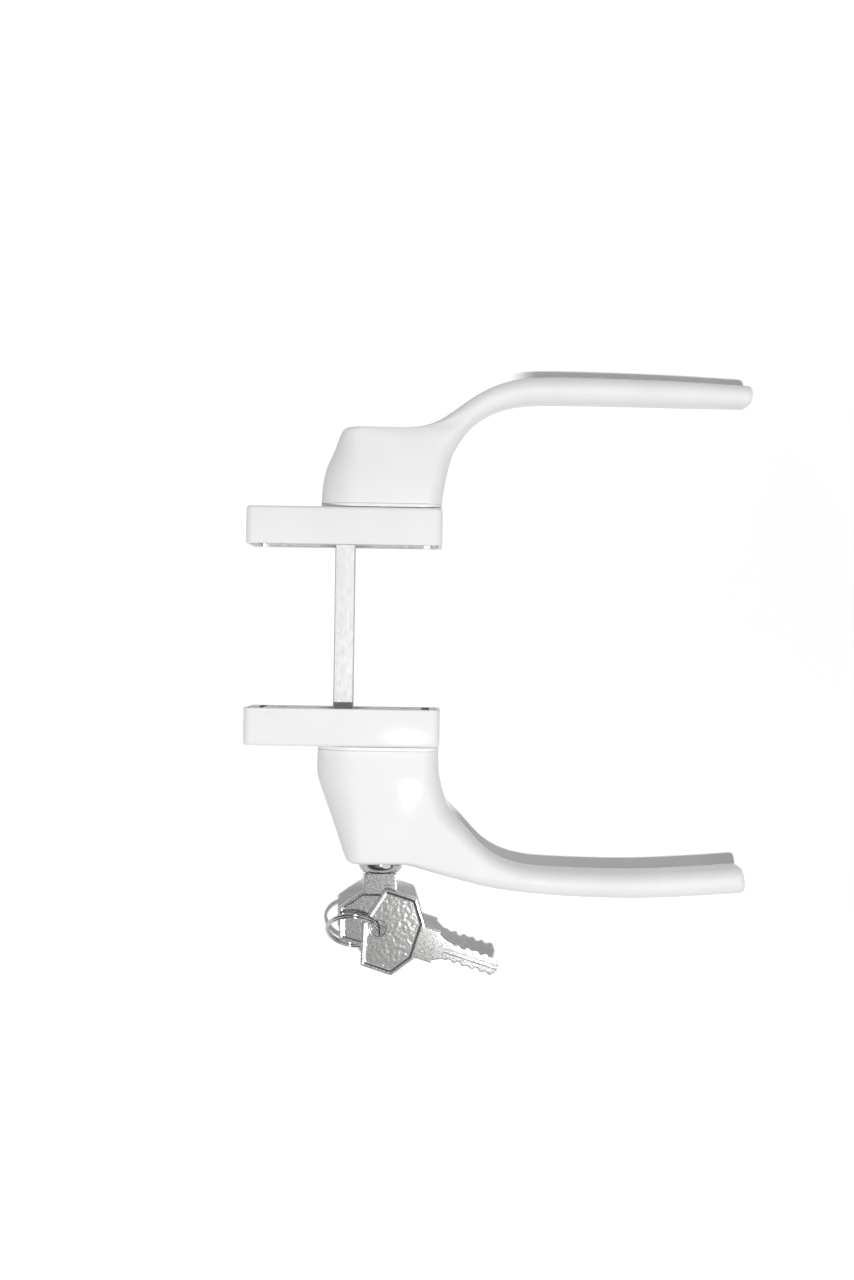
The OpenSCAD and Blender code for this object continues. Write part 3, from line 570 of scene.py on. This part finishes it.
def cut_mesh(mesh, cutters, place):
    body = add_to_scene("cut_body", mesh)
    helpers = []
    for shape in cutters:
        helper = add_to_scene("cut_helper", solid_mesh("cut_tool", shape, place))
        helpers.append(helper)
        modifier = body.modifiers.new("cut", "BOOLEAN")
        modifier.operation = "DIFFERENCE"
        modifier.solver = "EXACT"
        modifier.object = helper
    bpy.context.view_layer.update()
    graph = bpy.context.evaluated_depsgraph_get()
    result = bpy.data.meshes.new_from_object(body.evaluated_get(graph))
    bpy.data.objects.remove(body)
    for helper in helpers:
        bpy.data.objects.remove(helper)
    return result


def add_piece(name, mesh, node):
    piece = add_to_scene(name, mesh)
    mesh.materials.clear()
    mesh.materials.append(MATERIALS[SLOTS[node]])
    body = next(b for b, nodes in frame["record"]["behaviour"]["bodies"].items() if node in nodes)
    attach(piece, body)
    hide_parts(node)


def cut_piece(name, shape, cutters, place, node, degrees):
    mesh = cut_mesh(solid_mesh(name, shape, place), cutters, place)
    smooth(mesh, degrees)
    add_piece(name, mesh, node)


# Levers: rows of outer point, inner point, half width, outer and inner corner radius.
# In them b and e are the boss's back and front end, l, h and w its length, height and half width,
# u and g the grip's rise over the boss and its own height, t and v its thickness and half width,
# and c, r and s corner radii.

CORNER_STEPS = 10
CORNER_STRETCH = 1.25
SPAN_STEPS = 7
EASE_PASSES = 12
EASE_IN = 14
OUTER_EASED_FROM = 7 * SPAN_STEPS
INNER_EASED_FROM = SPAN_STEPS
SIZES_EASED_FROM = 5 * SPAN_STEPS
TIP_ANGLES = (12, 24, 36, 48, 60, 72, 82, 88)


def grip_x(f):
    return BOSS_END + f * (LEVER_REACH - TIP_R - BOSS_END)


def outside_rows():
    b, e, l, h, t = -BOSS_BACK, BOSS_END, BOSS_L, OUTSIDE_BOSS_H, GRIP_T
    u, g, w, v = OUTSIDE_RISE, OUTSIDE_BOSS_H + OUTSIDE_RISE, BOSS_W / 2, GRIP_W / 2
    c, r, s = BOSS_CORNER, 0.467 * t, 0.51 * t
    return [
        (b, 0, e, 0, w, BOSS_ROUND, c),
        (b, 0.215 * h, e + 0.007 * l, 0.18 * h, w, BOSS_ROUND, c),
        (b + 0.062 * l, 0.42 * h, e + 0.035 * l, 0.33 * h, 0.985 * w, 0.89 * w, c),
        (b + 0.176 * l, 0.745 * h, e + 0.066 * l, 0.435 * h, 0.956 * w, 0.63 * w, c),
        (b + 0.235 * l, 0.915 * h, e + 0.087 * l, 0.49 * h, 0.933 * w, 0.481 * w, c),
        (b + 0.28 * l, 0.982 * h, e + 0.111 * l, 0.535 * h, 0.919 * w, 0.37 * w, c),
        (b + 0.37 * l, h, e + 0.144 * l, 0.575 * h, 0.904 * w, 0.296 * w, c),
        (b + 0.588 * l, h, e + 0.198 * l, 0.635 * h, 0.881 * w, 0.267 * w, 0.611 * t),
        (b + 0.76 * l, h, e + 0.259 * l, 0.705 * h, 0.852 * w, 0.267 * w, 0.556 * t),
        (b + 0.953 * l, h + 0.23 * u, e + 0.339 * l, 0.8 * h, 1.1 * v, 0.422 * t, s),
        (e + 0.219 * l, h + 0.51 * u, e + 0.447 * l, 0.9 * h, 1.05 * v, 0.444 * t, r),
        (e + 0.454 * l, g - 0.27 * u, e + 0.576 * l, g - 0.28 * u - t, 1.02 * v, r, r),
        (e + 0.694 * l, g - 0.14 * u, e + 0.741 * l, g - 0.11 * u - t, v, r, r),
        (grip_x(0.39), g - 0.05 * u, grip_x(0.39), g - 0.045 * u - t, v, r, r),
        (grip_x(0.54), g, grip_x(0.54), g - 0.01 * u - t, v, r, r),
        (grip_x(0.68), g, grip_x(0.675), g - 0.02 * u - t, v, r, r),
        (grip_x(0.84), g - 0.09 * u, grip_x(0.83), g - 0.11 * u - t, 0.99 * v, r, r),
        (grip_x(1), g - 0.22 * u, grip_x(0.988), g - 0.24 * u - t, 0.97 * v, r, r)]


def inside_rows():
    b, e, l, h, t = -BOSS_BACK, BOSS_END, BOSS_L, INSIDE_BOSS_H, GRIP_T
    u, g, w, v = INSIDE_RISE, INSIDE_BOSS_H + INSIDE_RISE, BOSS_W / 2, GRIP_W / 2
    c, r, s = BOSS_CORNER, 0.467 * t, 0.51 * t
    return [
        (b, 0, e, 0, w, BOSS_ROUND, c),
        (b + 0.011 * l, 0.25 * h, e + 0.014 * l, 0.21 * h, w, BOSS_ROUND, c),
        (b + 0.042 * l, 0.48 * h, e + 0.035 * l, 0.38 * h, 0.985 * w, 0.89 * w, c),
        (b + 0.114 * l, 0.735 * h, e + 0.056 * l, 0.54 * h, 0.963 * w, 0.667 * w, c),
        (b + 0.157 * l, 0.905 * h, e + 0.075 * l, 0.645 * h, 0.941 * w, 0.481 * w, c),
        (b + 0.192 * l, 0.972 * h, e + 0.094 * l, 0.72 * h, 0.926 * w, 0.37 * w, c),
        (b + 0.27 * l, h, e + 0.118 * l, 0.79 * h, 0.911 * w, 0.296 * w, c),
        (b + 0.489 * l, h, e + 0.153 * l, 0.885 * h, 0.889 * w, 0.267 * w, 0.611 * t),
        (b + 0.678 * l, h, e + 0.195 * l, 0.975 * h, 0.859 * w, 0.267 * w, 0.556 * t),
        (b + 0.838 * l, h + 0.039 * u, e + 0.235 * l, 1.045 * h, 1.11 * v, 0.422 * t, s),
        (e, h + 0.185 * u, e + 0.287 * l, 1.12 * h, 1.08 * v, 0.444 * t, r),
        (e + 0.224 * l, h + 0.575 * u, e + 0.379 * l, 1.215 * h, 1.04 * v, r, r),
        (e + 0.435 * l, g - 0.16 * u, e + 0.508 * l, g - 0.09 * u - t, 1.02 * v, r, r),
        (e + 0.647 * l, g - 0.034 * u, e + 0.666 * l, g - 0.022 * u - t, v, r, r),
        (grip_x(0.34), g, grip_x(0.34), g - t, v, r, r),
        (grip_x(0.53), g - 0.006 * u, grip_x(0.53), g + 0.006 * u - t, v, r, r),
        (grip_x(0.77), g - 0.045 * u, grip_x(0.77), g - 0.006 * u - t, 0.99 * v, 0.411 * t, 0.411 * t),
        (grip_x(1), g - 0.112 * u, grip_x(0.994), g - 0.112 * u - 0.79 * t, 0.97 * v, 0.367 * t, 0.367 * t)]


def section(row, shrink=0.0, push=0.0):
    """Ring of one row: a rounded rectangle, made smaller and pushed along the lever at its tip."""
    ox, oz, ix, iz, half, outer_r, inner_r = row
    length = math.hypot(ix - ox, iz - oz)
    ax, az = (ix - ox) / length, (iz - oz) / length
    a, w = length / 2 - shrink, half - shrink
    mx, mz = (ox + ix) / 2 - az * push, (oz + iz) / 2 + ax * push
    inner_r, outer_r = inner_r - shrink, outer_r - shrink
    ri, ro = min(inner_r, 0.96 * a), min(outer_r, 0.96 * a)
    wi, wo = min(CORNER_STRETCH * inner_r, 0.98 * w), min(CORNER_STRETCH * outer_r, 0.98 * w)
    ring = []
    for cx, cy, rx, ry, start in ((a - ri, w - wi, ri, wi, 0), (-a + ro, w - wo, ro, wo, 90),
                                  (-a + ro, -w + wo, ro, wo, 180), (a - ri, -w + wi, ri, wi, 270)):
        for k in range(CORNER_STEPS + 1):
            angle = math.radians(start + 90 * k / CORNER_STEPS)
            along, across = cx + rx * math.cos(angle), cy + ry * math.sin(angle)
            ring.append((mx + ax * along, across, mz + az * along + BOSS_Z))
    return ring


def between(rows, i, t):
    """Row at share t of the way from row i to the next, on a smooth curve through all rows."""
    last = len(rows) - 1
    around = (rows[max(i - 1, 0)], rows[i], rows[i + 1], rows[min(i + 2, last)])
    return [0.5 * (2 * q + (r - p) * t + (2 * p - 5 * q + 4 * r - s) * t * t
                   + (3 * q - 3 * r + s - p) * t ** 3) for p, q, r, s in zip(*around)]


def eased(rows):
    """Evens the rows out. Each column has its own first row, and the share grows from there."""
    first = 2 * [OUTER_EASED_FROM] + 2 * [INNER_EASED_FROM] + 3 * [SIZES_EASED_FROM]
    for _ in range(EASE_PASSES):
        before = rows
        rows = [list(row) for row in rows]
        for i in range(1, len(rows) - 1):
            for c in range(7):
                share = min(1, max(0, (i - first[c]) / EASE_IN))
                rows[i][c] += share * (before[i - 1][c] - 2 * before[i][c] + before[i + 1][c]) / 4
    return rows


def lever_rings(rows):
    last = len(rows) - 1
    dense = [between(rows, i, k / SPAN_STEPS) for i in range(last) for k in range(SPAN_STEPS)]
    rings = [section(row) for row in eased(dense + [list(rows[last])])]
    for degrees in TIP_ANGLES:
        a = math.radians(degrees)
        rings.append(section(rows[last], TIP_R * (1 - math.cos(a)), TIP_R * math.sin(a)))
    return rings


def make_lever(node, rows, place, spindle_end, cutters):
    half = SPINDLE_SQ / 2 + RUN_GAP
    below = BOSS_Z - CUT
    socket = box(-half, half, -half, half, below, spindle_end + CUT)
    screws = [upright_rod(HUB_SCREW_R + FIT_GAP, HUB_SCREW_X, y, below, HUB_SCREW_END)
              for y in (-HUB_SCREW_Y, HUB_SCREW_Y)]
    shape = loft(lever_rings(rows))
    cut_piece(node + "_casting", shape, [socket] + cutters + screws, place, node, degrees=40)


def make_levers():
    lock = upright_rod(LOCK_R + RUN_GAP, LOCK_X, 0, BOSS_Z - CUT, FRONT_Z + CUT, 96)
    pin = rod(PIN_R + RUN_GAP, (0, PIN_L / 2 + FIT_GAP, PIN_Z), (0, -BOSS_W, PIN_Z))
    lock_screw = rod(LOCK_SCREW_R + RUN_GAP, (LOCK_X, 0, LOCK_SCREW_Z), (LOCK_X, -BOSS_W, LOCK_SCREW_Z))
    grub = rod(GRUB_R + RUN_GAP, (0, 0, GRUB_Z), (0, BOSS_W, GRUB_Z))
    make_lever("outside_lever", outside_rows(), outside_place, SPINDLE_OUTSIDE, [lock, pin, lock_screw])
    make_lever("inside_lever", inside_rows(), inside_place, SPINDLE_INSIDE, [grub])


# Rosettes

def make_rosette(node, place, bolt_holes):
    foot, edge = ROSETTE_FOOT, ROSETTE_EDGE
    insets = [(foot, 0), (0, foot)]
    for degrees in (0, *range(15, 90, 10)):
        a = math.radians(degrees)
        insets.append((edge * (1 - math.cos(a)), ROSETTE_H - edge + edge * math.sin(a)))
    rings = [rounded_rectangle(ROSETTE_L - 2 * d, ROSETTE_W - 2 * d, ROSETTE_CORNER - d, z)
             for d, z in insets]
    inner_l, inner_w = ROSETTE_L - 2 * ROSETTE_WALL, ROSETTE_W - 2 * ROSETTE_WALL
    inner_h = ROSETTE_H - ROSETTE_WALL
    low, high = inner_h - CUT, ROSETTE_H + CUT
    cutters = [loft([rounded_rectangle(inner_l, inner_w, INNER_CORNER, z) for z in (-CUT, inner_h)]),
               upright_rod(NECK_R + 3 * RUN_GAP, 0, 0, low, high, 96)]
    cutters += [upright_rod(BOLT_R + 2 * FIT_GAP, x, y, low, high) for x, y in bolt_holes]
    cut_piece(node + "_cover", loft(rings), cutters, place, node, degrees=30)


# Spindle

def make_spindle():
    start, end = -SPINDLE_OUTSIDE, DOOR_T + SPINDLE_INSIDE
    chamfer = SPINDLE_CHAMFER
    rings = []
    for y, shrink in ((start, chamfer), (start + chamfer, 0), (end - chamfer, 0), (end, chamfer)):
        side = SPINDLE_SQ - 2 * shrink
        rings.append([(x, y, z) for x, z, _ in rounded_rectangle(side, side, SPINDLE_CORNER, 0)])
    pin = upright_rod(PIN_R + RUN_GAP, 0, -PIN_Z, -SPINDLE_SQ, SPINDLE_SQ)
    cut_piece("spindle_bar", loft(rings), [pin], plain_place, "spindle", degrees=8)


# Lock body with its collar

DOME_STEPS = 12


def make_lock_body():
    profile = [(LOCK_R, BOSS_Z + FIT_GAP), (LOCK_R, FRONT_Z),
               (COLLAR_R - COLLAR_EDGE, FRONT_Z), (COLLAR_R, FRONT_Z + COLLAR_EDGE)]
    for k in range(DOME_STEPS + 1):
        a = math.radians(90 * k / DOME_STEPS)
        profile.append((COLLAR_R - COLLAR_DOME + COLLAR_DOME * math.cos(a),
                        FRONT_Z + COLLAR_FOOT + (COLLAR_H - COLLAR_FOOT) * math.sin(a)))
    slot, inside = BOLT_SLOT_R, CAM_BACK + CUT
    cutters = [upright_rod(PLUG_R + RUN_GAP, LOCK_X, 0, CAM_BACK - FIT_GAP, FRONT_Z + COLLAR_H + CUT, 96),
               upright_rod(CAM_BORE_R, LOCK_X, 0, BOLT_HEAD_BACK - BOLT_TRAVEL - 3 * FIT_GAP, inside, 64),
               upright_rod(BOLT_R + FIT_GAP, BOLT_X, 0, BOSS_Z - CUT, inside),
               box(LOCK_X - slot, LOCK_X + slot, -2 * LOCK_R, 2 * LOCK_R,
                   BOLT_PIN_Z - BOLT_TRAVEL - slot, BOLT_PIN_Z + slot)]
    shape = lathe(profile, LOCK_X, 128)
    cut_piece("lock_body", shape, cutters, outside_place, "lock_housing", degrees=40)


# Plane outlines

def left(v):
    return (-v[1], v[0])


def unit(v):
    length = math.hypot(*v)
    return (v[0] / length, v[1] / length)


def direction(start, end):
    return unit((end[0] - start[0], end[1] - start[1]))


def moved(p, way, d):
    return (p[0] + way[0] * d, p[1] + way[1] * d)


def inset_points(points, d):
    result = []
    for i, b in enumerate(points):
        a, c = points[i - 1], points[(i + 1) % len(points)]
        n1, n2 = left(direction(a, b)), left(direction(b, c))
        scale = d / (1 + n1[0] * n2[0] + n1[1] * n2[1])
        result.append(moved(b, (n1[0] + n2[0], n1[1] + n2[1]), scale))
    return result


def round_points(points, radii, steps):
    result = []
    for i, (b, r) in enumerate(zip(points, radii)):
        a, c = points[i - 1], points[(i + 1) % len(points)]
        u, w = direction(b, a), direction(b, c)
        half = math.acos(max(-1, min(1, u[0] * w[0] + u[1] * w[1]))) / 2
        if half > math.radians(89.5):
            result.append(b)
            continue
        centre = moved(b, unit((u[0] + w[0], u[1] + w[1])), r / math.sin(half))
        p, q = moved(b, u, r / math.tan(half)), moved(b, w, r / math.tan(half))
        start = math.atan2(p[1] - centre[1], p[0] - centre[0])
        end = math.atan2(q[1] - centre[1], q[0] - centre[0])
        sweep = (end - start + math.pi) % (2 * math.pi) - math.pi
        for k in range(steps + 1):
            angle = start + sweep * k / steps
            result.append(moved(centre, (math.cos(angle), math.sin(angle)), r))
    return result


def inside_polygon(x, y, points):
    hit = False
    for i, (x0, y0) in enumerate(points):
        x1, y1 = points[i - 1]
        if (y0 > y) != (y1 > y) and x < (x1 - x0) * (y - y0) / (y1 - y0) + x0:
            hit = not hit
    return hit


# Keys, in their own plane: x runs from the hole in the bow to the tip

EDGE_STEPS = 4
OUTLINE_STEPS = 3
MIN_CORNER = 0.12
# The wall between a bow's rim and its recess: where it starts, and shares of its width
WALL_FROM = BOW_RIM - 0.5
WALL_STEPS = (-0.2, 0, 0.17, 0.33, 0.5, 0.67, 0.83, 1, 1.2)
WALL_CORNER = 0.8
# A grid of points over the bow, each with the height of two sizes of grain: scale, place and height
GRAIN_STEP = 0.52
GRAIN_ROW = 0.87
GRAIN_COLUMNS = range(-14, 31)
GRAIN_ROWS = range(-29, 30)
GRAINS = ((0.9, 3.1, 0.014), (2.9, 7.7, 0.016))


def bow_points():
    w, n = BOW_W / 2, NECK_W / 2
    return [(BOW_APEX_U, 0), (BOW_SIDE_U[0], -w), (BOW_SIDE_U[1], -w), (NECK_U, -n),
            (NECK_U, n), (BOW_SIDE_U[1], w), (BOW_SIDE_U[0], w)]


def key_side(side):
    """One side of a key's outline from the bow to the tip, each corner with its radius."""
    half = BLADE_W / 2
    rows = [(BOW_SIDE_U[0], BOW_W / 2, BOW_CORNER), (BOW_SIDE_U[1], BOW_W / 2, BOW_CORNER),
            (NECK_U, NECK_W / 2, 0.5), (NECK_U + 0.4, SHANK_W / 2, 0.5), (KEY_HOLE_U, SHANK_W / 2, 0.4),
            (KEY_HOLE_U, SHOULDER_W / 2, 0.3), (KEY_HOLE_U + SLOPE_L, half, 0.4)]
    for i, depth in enumerate(CUT_DEPTHS[::side]):
        middle = FIRST_CUT_U + i * CUT_PITCH
        flat, mouth = CUT_FLAT / 2, CUT_FLAT / 2 + CUT_SLOPE
        rows += [(middle - mouth, half, 0.25), (middle - flat, half - depth, 0.25),
                 (middle + flat, half - depth, 0.25), (middle + mouth, half, 0.25)]
    tip = KEY_HOLE_U + BLADE_L
    rows += [(tip - KEY_TIP_L, half, 0.3), (tip, KEY_TIP_W / 2, 0.4)]
    return [(u, side * v, r) for u, v, r in rows]


def key_loops(bow):
    """Closed loops on a key's upper side with their heights: rounded edge, recess and hole."""
    rows = [(BOW_APEX_U, 0, BOW_CORNER)] + key_side(-1) + key_side(1)[::-1]
    outline, radii = [row[:2] for row in rows], [row[2] for row in rows]
    top = KEY_T / 2
    loops = []
    quarter = [math.radians(90 * k / EDGE_STEPS) for k in range(EDGE_STEPS + 1)]
    for a in quarter:
        d = EDGE_R * (1 - math.cos(a))
        tighter = [max(r - 0.5 * d, MIN_CORNER) for r in radii]
        line = round_points(inset_points(outline, d), tighter, OUTLINE_STEPS)
        loops.append((line, top - EDGE_R * (1 - math.sin(a))))
    tighter = [max(r - 0.2, MIN_CORNER) for r in radii]
    loops.append((round_points(inset_points(outline, EDGE_R + 0.08), tighter, OUTLINE_STEPS), top))
    for t in WALL_STEPS:
        c = max(0, min(1, t))
        line = round_points(inset_points(bow, WALL_FROM + BOW_WALL * t), [WALL_CORNER] * len(bow), 4)
        loops.append((line, top - BOW_SINK * c * c * (3 - 2 * c)))
    for a in quarter:
        loops.append((circle(KEY_HOLE_R + HOLE_EDGE_R * (1 - math.sin(a))),
                      top - BOW_SINK - HOLE_EDGE_R * (1 - math.cos(a))))
    loops.append((circle(KEY_HOLE_R + HOLE_EDGE_R + 0.1), top - BOW_SINK))
    return loops


def grain_points(bow):
    """Points in the recess of a bow with the uneven height of a casting."""
    floor = inset_points(bow, WALL_FROM + BOW_WALL + 0.35)
    hole = KEY_HOLE_R + HOLE_EDGE_R + 0.3
    points = []
    for i in GRAIN_COLUMNS:
        for j in GRAIN_ROWS:
            x, y = GRAIN_STEP * (i + 0.5 * (j % 2)), GRAIN_STEP * GRAIN_ROW * j
            if inside_polygon(x, y, floor) and math.hypot(x, y) > hole:
                grain = sum(mathutils.noise.noise(Vector((x * scale, y * scale, place))) * height
                            for scale, place, height in GRAINS)
                points.append((x, y, KEY_T / 2 - BOW_SINK + grain))
    return points


def two_sided(flat, heights, faces):
    """The same relief on both sides of z = 0, with walls between their open edges."""
    count = len(flat)
    points = [(p[0], p[1], side * z) for side in (1, -1) for p, z in zip(flat, heights)]
    all_faces = faces + [tuple(i + count for i in reversed(face)) for face in faces]
    edges = dict.fromkeys(edge for face in faces for edge in zip(face, face[1:] + face[:1]))
    for a, b in edges:
        if (b, a) not in edges:
            all_faces.append((b, a, a + count, b + count))
    return points, all_faces


def key_shape():
    bow = bow_points()
    loops = key_loops(bow)
    flat, heights, edges = [], [], []
    for loop, z in loops:
        first, count = len(flat), len(loop)
        flat += [Vector(p) for p in loop]
        heights += [z] * count
        edges += [(first + i, first + (i + 1) % count) for i in range(count)]
    for x, y, z in grain_points(bow):
        flat.append(Vector((x, y)))
        heights.append(z)
    found, _, faces, origins, _, _ = mathutils.geometry.delaunay_2d_cdt(flat, edges, [], 0, 1e-5)
    heights = [heights[ids[0]] if ids else KEY_T / 2 for ids in origins]
    kept = []
    for face in faces:
        x, y = (sum(found[i][axis] for i in face) / len(face) for axis in (0, 1))
        if inside_polygon(x, y, loops[0][0]) and math.hypot(x, y) > KEY_HOLE_R * 0.998:
            kept.append(tuple(face))
    return two_sided(found, heights, kept)


def key_cutters():
    top = KEY_T / 2
    narrow, wide = GROOVE_W[0] / 2, GROOVE_W[1] / 2
    cutters = []
    for side in (-1, 1):
        deep, lip = side * (top - GROOVE_DEPTH), side * (top + 0.3)
        cutters.append(loft([[(u, -narrow, deep), (u, narrow, deep), (u, wide, lip), (u, -wide, lip)]
                             for u in (KEY_HOLE_U + SLOPE_L, KEY_HOLE_U + BLADE_L + CUT)]))
    u, v = sum(MILL_U) / 2, sum(MILL_V) / 2
    length, width = MILL_U[1] - MILL_U[0], MILL_V[1] - MILL_V[0]
    rings = []
    for rise, grow in ((-0.5, -0.12), (-0.38, 0), (-0.06, 0), (0.2, 0.26)):
        ring = rounded_rectangle(length + 2 * grow, width + 2 * grow, MILL_CORNER + grow * 0.5, 0, 3)
        rings.append([(u + x, v + y, top + rise) for x, y, _ in ring])
    return cutters + [loft(rings)]


def key_placer(at, degrees):
    turn = Matrix.Rotation(math.radians(degrees), 3, "Z")

    def place(p):
        return (Vector(at) + turn @ Vector(p)) * MM
    return place


def spare_hole():
    """Centre of the loose key's hole, where the ring passes that key's plane."""
    z = KEY_T + KEY_GAP
    tilt, yaw = math.radians(RING_TILT), math.radians(RING_YAW)
    phase = math.asin(z / (RING_R * math.sin(tilt)))
    x, y = -RING_R * (1 - math.cos(phase)), RING_R * math.sin(phase) * math.cos(tilt)
    return (KEY_HOLE_AT[0] + x * math.cos(yaw) + y * math.sin(yaw),
            KEY_HOLE_AT[1] + y * math.cos(yaw) - x * math.sin(yaw), z)


def make_keys():
    shape, cutters = key_shape(), key_cutters()
    for name, node, at, degrees in (("key_in_lock", "inserted_key", KEY_HOLE_AT, 90),
                                    ("key_on_ring", "spare_key", spare_hole(), -SPARE_ANGLE)):
        cut_piece(name, shape, cutters, key_placer(at, degrees), node, degrees=30)


# Split ring: a double turn of wire, cut square and rounded at its ends

RING_STEPS = 72
WIRE_SIDES = 16
WIRE_FLAT = 0.98
WIRE_ENDS = (0.7, 0.93)


def ring_place(p):
    tilt = Matrix.Rotation(math.radians(RING_TILT), 3, "X")
    yaw = Matrix.Rotation(math.radians(-RING_YAW), 3, "Z")
    return (Vector(KEY_HOLE_AT) + yaw @ (tilt @ Vector(p) + Vector((-RING_R, 0, 0)))) * MM


def make_ring():
    total = round(RING_TURNS * RING_STEPS)
    rings = []
    for i in range(total + 1):
        turns = i / RING_STEPS
        angle = 2 * math.pi * turns + math.radians(RING_START)
        out = Vector((math.cos(angle), math.sin(angle), 0))
        centre = out * RING_R + Vector((0, 0, RING_PITCH * (turns - RING_TURNS / 2)))
        to_end = min(i, total - i)
        r = WIRE_R * (WIRE_ENDS[to_end] if to_end < len(WIRE_ENDS) else 1)
        rings.append([tuple(centre + out * x * WIRE_FLAT + Vector((0, 0, z)))
                      for x, z in circle(r, WIRE_SIDES)])
    mesh = solid_mesh("ring_wire", loft(rings), ring_place)
    smooth(mesh, 50)
    add_piece("ring_wire", mesh, "split_ring")


# Pieces whose solids only need softer edges

SHARP_ANGLE = 30


def add_softened(node, name, width):
    mesh = frame["nodes"][node].data.copy()
    mesh.name = name
    bm = bmesh.new()
    bm.from_mesh(mesh)
    bmesh.ops.remove_doubles(bm, verts=bm.verts, dist=1e-7)
    bmesh.ops.dissolve_limit(bm, angle_limit=math.radians(1), verts=bm.verts, edges=bm.edges)
    sharp = [edge for edge in bm.edges
             if len(edge.link_faces) == 2 and edge.calc_face_angle(0) > math.radians(SHARP_ANGLE)]
    bmesh.ops.bevel(bm, geom=sharp, offset=width * MM, segments=2, profile=0.5, affect="EDGES",
                    clamp_overlap=True)
    bm.to_mesh(mesh)
    bm.free()
    smooth(mesh, 35)
    add_piece(name, mesh, node)


MATERIALS = make_materials()
add_camera()
add_lamp()
add_world()
add_floor()
paint_cad_nodes()
make_levers()
make_rosette("outside_rosette", outside_place, [(BOLT_X, 0), (0, BOLT_X)])
make_rosette("inside_rosette", inside_place, [])
make_spindle()
make_lock_body()
make_keys()
make_ring()
add_softened("outside_hub", "outside_hub_plate", 0.2)
add_softened("inside_hub", "inside_hub_plate", 0.2)
add_softened("outside_base_plate", "outside_base_casting", 0.3)
add_softened("inside_base_plate", "inside_base_casting", 0.3)
add_softened("lock_plug", "lock_plug_front", 0.12)

bpy.context.scene.view_settings.view_transform = "Standard"
